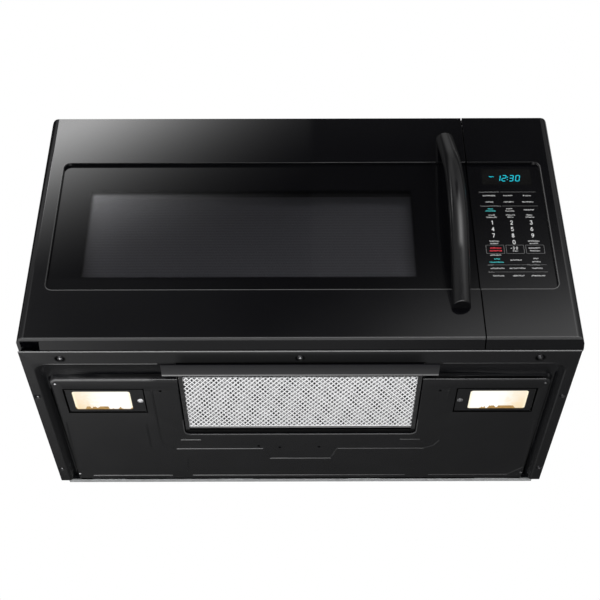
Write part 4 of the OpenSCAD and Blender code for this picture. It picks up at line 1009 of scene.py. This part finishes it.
class OVEN_OT_handle(bpy.types.Operator):
    """Bow handle: a round tube along an arc with straight ends, cut flat at both ends"""

    bl_idname = "oven.handle"
    bl_label = "Handle"

    def execute(self, context):
        slope = math.radians(HANDLE_SLOPE)
        rise, reach = math.sin(slope), math.cos(slope)
        k = (1 - reach) / rise
        straight = (HANDLE_RISE - HANDLE_HALF * k) / (rise - reach * k)
        radius = (HANDLE_HALF - straight * reach) / rise
        run = (straight + HANDLE_SPILL) * MM
        centre = at(HANDLE_X, radius - HANDLE_OUT, HANDLE_MIDDLE)
        start = centre - Vector((0, reach, rise)) * radius * MM - Vector((0, -rise, reach)) * run
        bm = bmesh.new()
        made = bmesh.ops.create_circle(bm, cap_ends=False, radius=HANDLE_TUBE * MM, segments=48)["verts"]
        turn = Matrix.Rotation(slope, 4, "X")
        bmesh.ops.transform(bm, matrix=Matrix.Translation(start) @ turn, verts=made)
        edges = pull(bm, bm.edges[:], Vector((0, -rise, reach)) * run)
        spun = bmesh.ops.spin(bm, geom=edges, cent=centre, axis=(1, 0, 0), angle=-2 * slope, steps=28)
        edges = [part for part in spun["geom_last"] if isinstance(part, bmesh.types.BMEdge)]
        pull(bm, edges, Vector((0, rise, reach)) * run)
        bmesh.ops.remove_doubles(bm, verts=bm.verts, dist=1e-6)
        low, high = HANDLE_ENDS
        for co, normal in (((0, 0, low), (0, 0, -1)), ((0, 0, high), (0, 0, 1)), ((0, 0, 0), (0, 1, 0))):
            cut(bm, at(*co), normal)
            bmesh.ops.holes_fill(bm, edges=[e for e in bm.edges if e.is_boundary], sides=0)
        bmesh.ops.recalc_face_normals(bm, faces=bm.faces)
        level = [e for e in bm.edges if abs(e.verts[0].co.z - e.verts[1].co.z) < 1e-6 and len(e.link_faces) == 2]
        rims = [e for e in level if e.verts[0].co.y < FRONT - 1e-5 and e.calc_face_angle(0) > math.radians(40)]
        bmesh.ops.bevel(bm, geom=rims, offset=1.2 * MM, segments=3, profile=0.5, affect="EDGES", material=-1)
        made = piece("handle_bow", bm, "door", material("handle satin", satin_black), 40.0)
        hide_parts("handle")
        return {"FINISHED"}


# Control panel


MARKS = {  # by ink, the ends in x and the height of each printed word, in millimetres
    "pale": [
        (267.3, 285.5, 266.3), (297.2, 311.3, 266.3), (326.1, 337.8, 266.3),
        (270.3, 281.6, 254.1), (296.6, 311.0, 254.1), (323.5, 339.8, 254.1),
        (299.2, 308.0, 240.9), (297.3, 310.0, 236.5), (324.3, 338.9, 238.9),
        (272.1, 281.4, 229.1), (268.8, 283.6, 225.0), (297.4, 310.4, 229.1),
        (299.0, 308.5, 225.0), (326.6, 335.5, 229.1), (325.5, 337.9, 225.0),
        (268.7, 282.7, 180.5), (269.5, 281.4, 176.2), (323.6, 339.9, 180.5),
        (325.3, 337.5, 176.2), (300.3, 307.4, 162.4), (323.1, 339.5, 167.8),
        (324.4, 338.3, 162.9), (267.4, 283.5, 155.1), (295.0, 311.6, 146.2),
        (327.6, 334.8, 148.8), (325.3, 336.9, 143.1), (265.7, 285.3, 131.6),
        (292.5, 314.5, 131.6), (323.7, 339.1, 131.6), (267.8, 283.6, 118.4),
        (295.5, 311.8, 118.4), (321.2, 341.3, 118.4),
    ],
    "dim": [
        (262.3, 291.3, 273.3), (262.0, 292.0, 246.2), (262.5, 271.5, 137.7),
        (317.8, 335.3, 137.7), (262.5, 270.8, 125.1),
    ],
    "teal": [(272.4, 279.5, 240.9), (268.6, 283.0, 236.8), (272.5, 280.4, 148.2), (265.7, 285.8, 142.6)],
    "red": [(268.7, 284.2, 168.1), (267.7, 284.7, 163.0)],
}
RULES = [  # the same for the thin lines beside the small words
    (293.8, 345.5, 273.3), (293.8, 345.4, 246.2), (272.7, 317.2, 137.7),
    (336.5, 344.9, 137.7), (272.0, 345.1, 125.1),
]
PADS, PAD_Z = [(262.7, 288.5), (291.0, 316.6), (318.9, 345.2)], (157.8, 173.4)  # the three outlined pads
DIGITS = [  # the digit and its middle in x and z
    ("1", 276.4, 214.8), ("2", 303.9, 214.8), ("3", 332.0, 214.8),
    ("4", 276.1, 202.7), ("5", 303.8, 202.7), ("6", 331.6, 202.7),
    ("7", 275.8, 190.8), ("8", 303.5, 190.8), ("9", 331.6, 190.8),
    ("0", 303.6, 178.6), ("3", 302.0, 167.6), ("0", 306.4, 167.6),
]
STROKES = {  # each digit's strokes on a grid two wide and four high
    "0": [[(0, 1), (0, 3), (0.6, 4), (1.4, 4), (2, 3), (2, 1), (1.4, 0), (0.6, 0), (0, 1)]],
    "1": [[(0.3, 3.3), (1.1, 4), (1.1, 0)]],
    "2": [[(0, 3.3), (0.6, 4), (1.5, 4), (2, 3.2), (1.8, 2.3), (0, 0), (2, 0)]],
    "3": [[(0.1, 4), (2, 4), (1, 2.4), (1.7, 2.1), (2, 1.2), (1.4, 0), (0.5, 0), (0, 0.7)]],
    "4": [[(1.5, 0), (1.5, 4), (0, 1.2), (2.1, 1.2)]],
    "5": [[(1.9, 4), (0.3, 4), (0.1, 2.2), (1.2, 2.5), (2, 1.6), (1.8, 0.5), (1.0, 0), (0, 0.4)]],
    "6": [[(1.7, 4), (0.6, 3.2), (0, 1.6), (0.3, 0.4), (1, 0), (1.8, 0.5), (2, 1.5), (1.2, 2.3), (0.2, 1.9)]],
    "7": [[(0, 4), (2, 4), (0.7, 0)]],
    "8": [
        [(1, 2.2), (0.2, 3), (0.5, 3.9), (1.5, 3.9), (1.8, 3), (1, 2.2)],
        [(1, 2.2), (0, 1.1), (0.5, 0.1), (1.5, 0.1), (2, 1.1), (1, 2.2)],
    ],
    "9": [[(0.3, 0), (1.4, 0.8), (2, 2.4), (1.7, 3.6), (1, 4), (0.2, 3.5), (0, 2.5), (0.8, 1.7), (1.8, 2.1)]],
}
SEGMENTS = {"0": "abcdef", "1": "bc", "2": "abged", "3": "abgcd"}  # seven-segment letters
SEGMENT_PLACES = {
    "a": ((0, 2), (1, 2)), "b": ((1, 2), (1, 1)), "c": ((1, 1), (1, 0)), "d": ((0, 0), (1, 0)),
    "e": ((0, 1), (0, 0)), "f": ((0, 2), (0, 1)), "g": ((0, 1), (1, 1)),
}


def mark(bm, x, z):
    """A printed patch on the keypad's face."""
    face = (OVERLAY - FRONT) / MM
    return slab(bm, x, (face - size("mark_rise") / MM, face + 0.05), (z[0] - 1, z[1] - 1))


def stroke(bm, a, b, width):
    """A printed stroke from a to b on the keypad's face."""
    a, b = Vector(a), Vector(b)
    run = b - a
    made = mark(bm, (0, run.length + width * 0.6), (1 - width / 2, 1 + width / 2))
    turn = Matrix.Rotation(-math.atan2(run.y, run.x), 4, "Y")
    start = Vector((a.x * MM, 0, (a.y - 1) * MM)) - turn @ Vector((width * 0.3 * MM, 0, 0))
    bmesh.ops.transform(bm, matrix=Matrix.Translation(start) @ turn, verts=made)


def dashes(bm, x0, x1, z, height, seed):
    """A row of uneven dashes that stands for a printed word."""
    rng = random.Random(seed)
    x = x0
    while x < x1 - 0.3:
        width = min(rng.uniform(0.5, 1.2), x1 - x)
        tall = height * rng.uniform(0.6, 1.0)
        low = z - height / 2 + rng.choice((0.0, 0.0, height - tall))
        mark(bm, (x, x + width), (low, low + tall))
        x += width + rng.uniform(0.3, 0.75)


class OVEN_OT_keypad(bpy.types.Operator):
    """Printed keypad: digits, rows of dashes for words, rules and pad outlines"""

    bl_idname = "oven.keypad"
    bl_label = "Keypad"

    def execute(self, context):
        paint(material("overlay", gloss_black), "control_overlay")
        # Painted glow for each ink.
        painted_glows = {"pale": 0.10, "dim": 0.04, "teal": 0.2, "red": 0.25}
        for number, (ink, rows) in enumerate(MARKS.items()):
            bm = bmesh.new()
            for place, (x0, x1, z) in enumerate(rows):
                dashes(bm, x0, x1, z, size("mark_height") / MM, 100 * number + place)
            tone = scaled(colour("ink_" + ink), 0.6 if ink == "pale" else 1.0)
            finish = material(f"ink {ink}", printed, tone, painted_glows[ink])
            piece(f"keypad_words_{ink}", bm, "case", finish)
        bm = bmesh.new()
        for x0, x1, z in RULES:
            mark(bm, (x0, x1), (z - 0.22, z + 0.22))
        low, high = PAD_Z
        for x0, x1 in PADS:
            for z in ((low, low + 0.5), (high - 0.5, high)):
                mark(bm, (x0, x1), z)
            for x in ((x0, x0 + 0.6), (x1 - 0.6, x1)):
                mark(bm, x, PAD_Z)
        # The rules' ink has a faint painted glow.
        piece("keypad_rules", bm, "case", material("ink rule", printed, colour("ink_dim"), 0.04))
        bm = bmesh.new()
        for digit, x, z in DIGITS:
            height, width = (4.2, 0.6) if z < 170 else (6.6, 0.85)
            unit = height / 4
            for points in STROKES[digit]:
                placed = [(x + (p - 1) * unit * 0.95, z - height / 2 + q * unit) for p, q in points]
                for a, b in zip(placed, placed[1:]):
                    stroke(bm, a, b, width)
        stroke(bm, (297.6, 167.6), (299.4, 167.6), 0.6)
        # The digits' ink has a stronger painted glow.
        piece("keypad_digits", bm, "case", material("ink digit", printed, colour("ink_pale"), 0.35))
        return {"FINISHED"}


CLOCK = (("1", 289.6), ("2", 298.2), ("3", 308.9), ("0", 318.2))  # each digit and the left of its foot
CLOCK_Z, CLOCK_WIDE, CLOCK_LEAN = (294.9, 305.9), 5.4, 0.2
COLON_X, COLON_Z = 306.0, (297.9, 302.4)


class OVEN_OT_clock(bpy.types.Operator):
    """Glowing seven-segment time in the display"""

    bl_idname = "oven.clock"
    bl_label = "Clock"

    def execute(self, context):
        window = material("display window", display_window)
        paint(window, "display_module")
        bm = bmesh.new()
        slab(bm, (269.3, 341.7), (5.42, 5.5), (286.9, 317.4))
        piece("display_tint", bm, "case", window)
        bm = bmesh.new()
        low, high = CLOCK_Z
        for digit, x in CLOCK:
            for letter in SEGMENTS[digit]:
                ends = []
                for across, up in SEGMENT_PLACES[letter]:
                    z = low + (high - low) * up / 2
                    ends.append(Vector((x + across * CLOCK_WIDE + CLOCK_LEAN * (z - low), z)))
                run = (ends[1] - ends[0]).normalized() * 0.8
                stroke(bm, ends[0] + run, ends[1] - run, 1.05)
        for z in COLON_Z:
            x = COLON_X + CLOCK_LEAN * (z - low)
            mark(bm, (x - 0.7, x + 0.7), (z - 0.6, z + 0.6))
        dashes(bm, 280.0, 287.4, 303.4, 2.0, 7)
        bmesh.ops.translate(bm, vec=(0, -0.0001, 0), verts=bm.verts)
        piece("clock_digits", bm, "case", material("lit segments", lit_segments))
        return {"FINISHED"}


# Inside


class OVEN_OT_inside(bpy.types.Operator):
    """Oven cavity, turntable, component bay, blower and vent"""

    bl_idname = "oven.inside"
    bl_label = "Inside"

    def execute(self, context):
        paint(material("pale enamel", pale_enamel), "cavity")
        paint(material("mica sheet", mica), "waveguide_cover")
        steel = material("plated steel", plated, (0.55, 0.56, 0.57))
        paint(steel, "magnetron", "hv_capacitor", "fan_motor", "turntable_motor", "blower_motor")
        paint(material("core and winding", laminated), "hv_transformer")
        paint(material("circuit board", circuit_board), "control_board")
        paint(material("charcoal", carbon_pad), "charcoal_filter")
        ivory = material("ivory plastic", moulded, (0.66, 0.64, 0.58))
        paint(ivory, "blower_wheels", "fan_blade", "turntable_coupler")
        paint(ivory, "roller_ring", "roller_1", "roller_2", "roller_3")
        paint(material("black switch", moulded, (0.02, 0.02, 0.02)), "interlock_switches")
        paint(material("red lever", moulded, (0.55, 0.05, 0.03)), "interlock_lever")
        paint(material("tray glass", cast_glass), "glass_tray")
        return {"FINISHED"}


# Stage


def surroundings(f):
    """White to the camera, a plain level to matt surfaces, and in reflections a dim studio with soft boxes."""
    direction = f.node("ShaderNodeTexCoord", output="Generated")
    x, y, z = f.axes(direction)
    # Ahead and above, mirrored by the door: a dim wall for its left and a soft box for the panel.
    dim = region(0.07 + region(0.13, (z - 0.575, 0.012)), (-0.10 - x, 0.04), (z - 0.5, 0.02))
    right = region(1.7, (x - 0.102, 0.0286), (0.5753 - z, 0.0127), (z - 0.50, 0.02), (0.34 - x, 0.02))
    flat = region(1, (0.25 - abs(x), 0.008), (z - 0.50, 0.02), (0.74 - z, 0.01))
    # All round ahead, less what the flat faces mirror: the handle's tube and the rounded edges.
    around = region(0.3 - region(0.12, (z - 0.8, 0.03)), (z + 0.215, 0.01), (0.965 - z, 0.01))
    strip = region(3.9 * within(x, 0.177, 0.40), (z + 0.187, 0.008), (0.42 - z, 0.09))
    curved = region(around + strip, (-0.04 - y, 0.03)) * (1 - flat)
    # Below and ahead for the lower edges, then overhead, then behind on the right.
    low = region(8.0, (-0.79 - z, 0.02), (-0.28 - y, 0.03))
    above = region(0.25, (y + 0.5, 0.05), (z - 0.97, 0.01))
    behind = region(0.35, (y - 0.3, 0.05), (z + 0.02, 0.02), (x + 0.12, 0.04))
    # Below, mirrored by the base: brighter for its front rim, and most of all on the left.
    rim = soft_step(-0.537 - z, 0.006)
    below = region(0.06, (-0.02 - z, 0.02)) + (0.30 - region(0.18, (x - 0.1, 0.03))) * rim
    below = below + region(0.01 + 0.85 * rim, (-0.19 - x, 0.03), (-0.3 - z, 0.05))
    mirrored = region(dim + right, (-0.2 - y, 0.05)) + curved + low + above + behind + below + 0.03
    path = f.node("ShaderNodeLightPath", output="Is Camera Ray")
    outputs = path.socket.node.outputs
    glossy = Sock(f, outputs["Is Glossy Ray"])
    level = path + (1 - path) * (glossy * mirrored + (1 - glossy) * size("daylight"))
    return f.node("ShaderNodeBackground", {}, {"Color": WHITE, "Strength": level})


CARD_AHEAD = 0.21  # metres from the door's face to the card
CARD_X, CARD_Z = (-0.47, 0.02), (0.28, 0.655)
CAMERA_LENS, CAMERA_PITCH = 71.24, 36.51  # millimetres on a sensor 36 wide, and degrees upwards
FLOOR = -1.25


def soft_box(f):
    """The card that the door's upper left corner mirrors, brightest at its own upper left.

    Each of its points belongs to one point of the door as the camera sees it, and its light is worked out from
    the direction in which that point mirrors.
    """
    u, _, v = f.axes()
    spread = 1 + CARD_AHEAD / CAMERA_AHEAD
    x, z = u / spread, (v + CAMERA_BELOW) / spread
    length = (x * x + z * z + CAMERA_AHEAD ** 2) ** 0.5
    x, z = x / length, z / length
    glow = region(20, (1.866 * (z - 0.68) - 0.1963 - x, 0.0366), (z - 0.6363, 0.1))
    return f.node("ShaderNodeEmission", {}, {"Color": WHITE, "Strength": glow.least(7.5)})


def pale_floor(f):
    """Plain pale floor."""
    clouds = f.noise(0.4, 2.0)
    return f.coat(clouds, ((0.80, 0.80, 0.80), (0.83, 0.83, 0.83)), 0.8 + clouds * 0.05)


class OVEN_OT_stage(bpy.types.Operator):
    """Camera at the photograph's place, pale floor, soft lamps and surroundings"""

    bl_idname = "oven.stage"
    bl_label = "Stage"

    def sheet(self, scene, name, x, y, z, finish):
        """One flat face of the stage, through the opposite corners of the ranges."""
        bm = bmesh.new()
        made = bmesh.ops.create_grid(bm, x_segments=1, y_segments=1, size=0.5)["verts"]
        if y[0] == y[1]:
            bmesh.ops.rotate(bm, cent=(0, 0, 0), matrix=Matrix.Rotation(math.pi / 2, 3, "X"), verts=made)
        bmesh.ops.scale(bm, vec=[span or 1 for span in spans(x, y, z)], verts=made)
        bmesh.ops.translate(bm, vec=middles(x, y, z), verts=made)
        mesh = bpy.data.meshes.new(name)
        bm.to_mesh(mesh)
        bm.free()
        mesh.materials.append(material(name.replace("_", " "), finish))
        laid = bpy.data.objects.new(name, mesh)
        scene.collection.objects.link(laid)
        return laid

    def execute(self, context):
        scene = context.scene
        lens = bpy.data.cameras.new("camera")
        lens.lens = CAMERA_LENS
        lens.sensor_width = 36.0
        camera = bpy.data.objects.new("camera", lens)
        camera.location = (0.0, FRONT - CAMERA_AHEAD, -CAMERA_BELOW)
        pitch, roll = math.radians(CAMERA_PITCH), math.radians(size("camera_roll"))
        turn = Matrix.Rotation(math.pi / 2 + pitch, 4, "X") @ Matrix.Rotation(roll, 4, "Z")
        camera.rotation_euler = turn.to_euler()
        scene.collection.objects.link(camera)
        scene.camera = camera
        floor = self.sheet(scene, "floor", (-6, 6), (-6, 6), (FLOOR, FLOOR), pale_floor)
        floor.visible_glossy = False
        card = self.sheet(scene, "soft_box", CARD_X, (FRONT - CARD_AHEAD,) * 2, CARD_Z, soft_box)
        card.visible_camera = card.visible_diffuse = card.visible_shadow = card.visible_transmission = False
        aim = Vector((0, 0, 0.2))
        for name, place, wide, power in (
            ("lamp_left", (-1.6, -1.9, 1.5), 1.2, 22),
            ("lamp_right", (1.7, -1.8, 0.9), 1.0, 14),
            ("lamp_low", (0.0, -1.3, -1.0), 1.4, 38),
        ):
            light = bpy.data.lights.new(name, "AREA")
            light.size = wide
            light.energy = power
            made = bpy.data.objects.new(name, light)
            made.location = place
            made.rotation_euler = (aim - Vector(place)).to_track_quat("-Z", "Y").to_euler()
            made.visible_glossy = made.visible_camera = False
            scene.collection.objects.link(made)
        world = bpy.data.worlds.new("studio")
        world.use_nodes = True
        finish = Finish(world.node_tree)
        finish.surface(surroundings(finish), "ShaderNodeOutputWorld")
        scene.world = world
        scene.view_settings.view_transform = "Standard"
        return {"FINISHED"}


# Settings and panel


class OvenSizes(bpy.types.PropertyGroup):
    """Sizes that a user would change."""

    press_radius: FloatProperty(
        name="Press radius", description="Rounding of the base pan's press lines",
        default=0.003, unit="LENGTH",
    )
    bead_width: FloatProperty(
        name="Bead width", description="Width of the raised beads on the base",
        default=0.004, unit="LENGTH",
    )
    edge_radius: FloatProperty(
        name="Edge radius", description="Rounding of the front mouldings' edges",
        default=0.0009, unit="LENGTH",
    )
    mesh_cell: FloatProperty(
        name="Mesh cell", description="Width of one diamond of the filter mesh",
        default=0.0076, unit="LENGTH",
    )
    mark_rise: FloatProperty(
        name="Ink thickness", description="Thickness of the printed marks",
        default=0.0001, unit="LENGTH",
    )
    mark_height: FloatProperty(
        name="Word height", description="Height of the rows of dashes",
        default=0.0024, unit="LENGTH",
    )
    daylight: FloatProperty(
        name="Daylight", description="Light from all round on matt surfaces",
        default=0.55,
    )
    camera_roll: FloatProperty(
        name="Camera roll", description="Turn of the camera about its view, in degrees",
        default=-0.145,
    )


class OvenColours(bpy.types.PropertyGroup):
    """Colours that a user would change."""

    gloss_black: FloatVectorProperty(
        name="Gloss black", description="Door, panel and handle",
        subtype="COLOR", default=(0.0008, 0.0008, 0.0012),
    )
    base_enamel: FloatVectorProperty(
        name="Base enamel", description="Base pan, lip and lamp covers",
        subtype="COLOR", default=(0.0018, 0.0019, 0.0024),
    )
    case_enamel: FloatVectorProperty(
        name="Case enamel", description="Sides and top",
        subtype="COLOR", default=(0.0014, 0.0014, 0.0018),
    )
    aluminium: FloatVectorProperty(
        name="Aluminium", description="Filter mesh",
        subtype="COLOR", default=(0.96, 0.96, 0.97),
    )
    clock_light: FloatVectorProperty(
        name="Clock light", description="Lit segments",
        subtype="COLOR", default=(0.0, 0.72, 0.92),
    )
    ink_pale: FloatVectorProperty(
        name="Pale ink", description="Digits and words",
        subtype="COLOR", default=(0.55, 0.55, 0.55),
    )
    ink_dim: FloatVectorProperty(
        name="Dim ink", description="Rules and small words",
        subtype="COLOR", default=(0.10, 0.10, 0.10),
    )
    ink_teal: FloatVectorProperty(
        name="Teal ink", description="Two coloured labels",
        subtype="COLOR", default=(0.03, 0.34, 0.34),
    )
    ink_red: FloatVectorProperty(
        name="Red ink", description="The red pad's label",
        subtype="COLOR", default=(0.50, 0.015, 0.03),
    )


STEPS = (
    OVEN_OT_stage,
    OVEN_OT_case,
    OVEN_OT_base_pan,
    OVEN_OT_filter,
    OVEN_OT_lamps,
    OVEN_OT_door,
    OVEN_OT_handle,
    OVEN_OT_keypad,
    OVEN_OT_clock,
    OVEN_OT_inside,
)


class OVEN_PT_panel(bpy.types.Panel):
    """Lists the steps in the sidebar"""

    bl_idname = "OVEN_PT_panel"
    bl_label = "Oven"
    bl_space_type = "VIEW_3D"
    bl_region_type = "UI"
    bl_category = "Oven"

    def draw(self, context):
        for group in (context.scene.oven_sizes, context.scene.oven_colours):
            for name in group.bl_rna.properties.keys():
                if name not in ("rna_type", "name"):
                    self.layout.prop(group, name)
        for step in STEPS:
            self.layout.operator(step.bl_idname)


CLASSES = (OvenSizes, OvenColours, *STEPS, OVEN_PT_panel)


def register():
    for cls in CLASSES:
        bpy.utils.register_class(cls)
    bpy.types.Scene.oven_sizes = PointerProperty(type=OvenSizes)
    bpy.types.Scene.oven_colours = PointerProperty(type=OvenColours)


def unregister():
    del bpy.types.Scene.oven_colours
    del bpy.types.Scene.oven_sizes
    for cls in reversed(CLASSES):
        bpy.utils.unregister_class(cls)


def main():
    register()
    for step in STEPS:
        group, name = step.bl_idname.split(".")
        getattr(getattr(bpy.ops, group), name)()


if __name__ == "__main__":
    main()
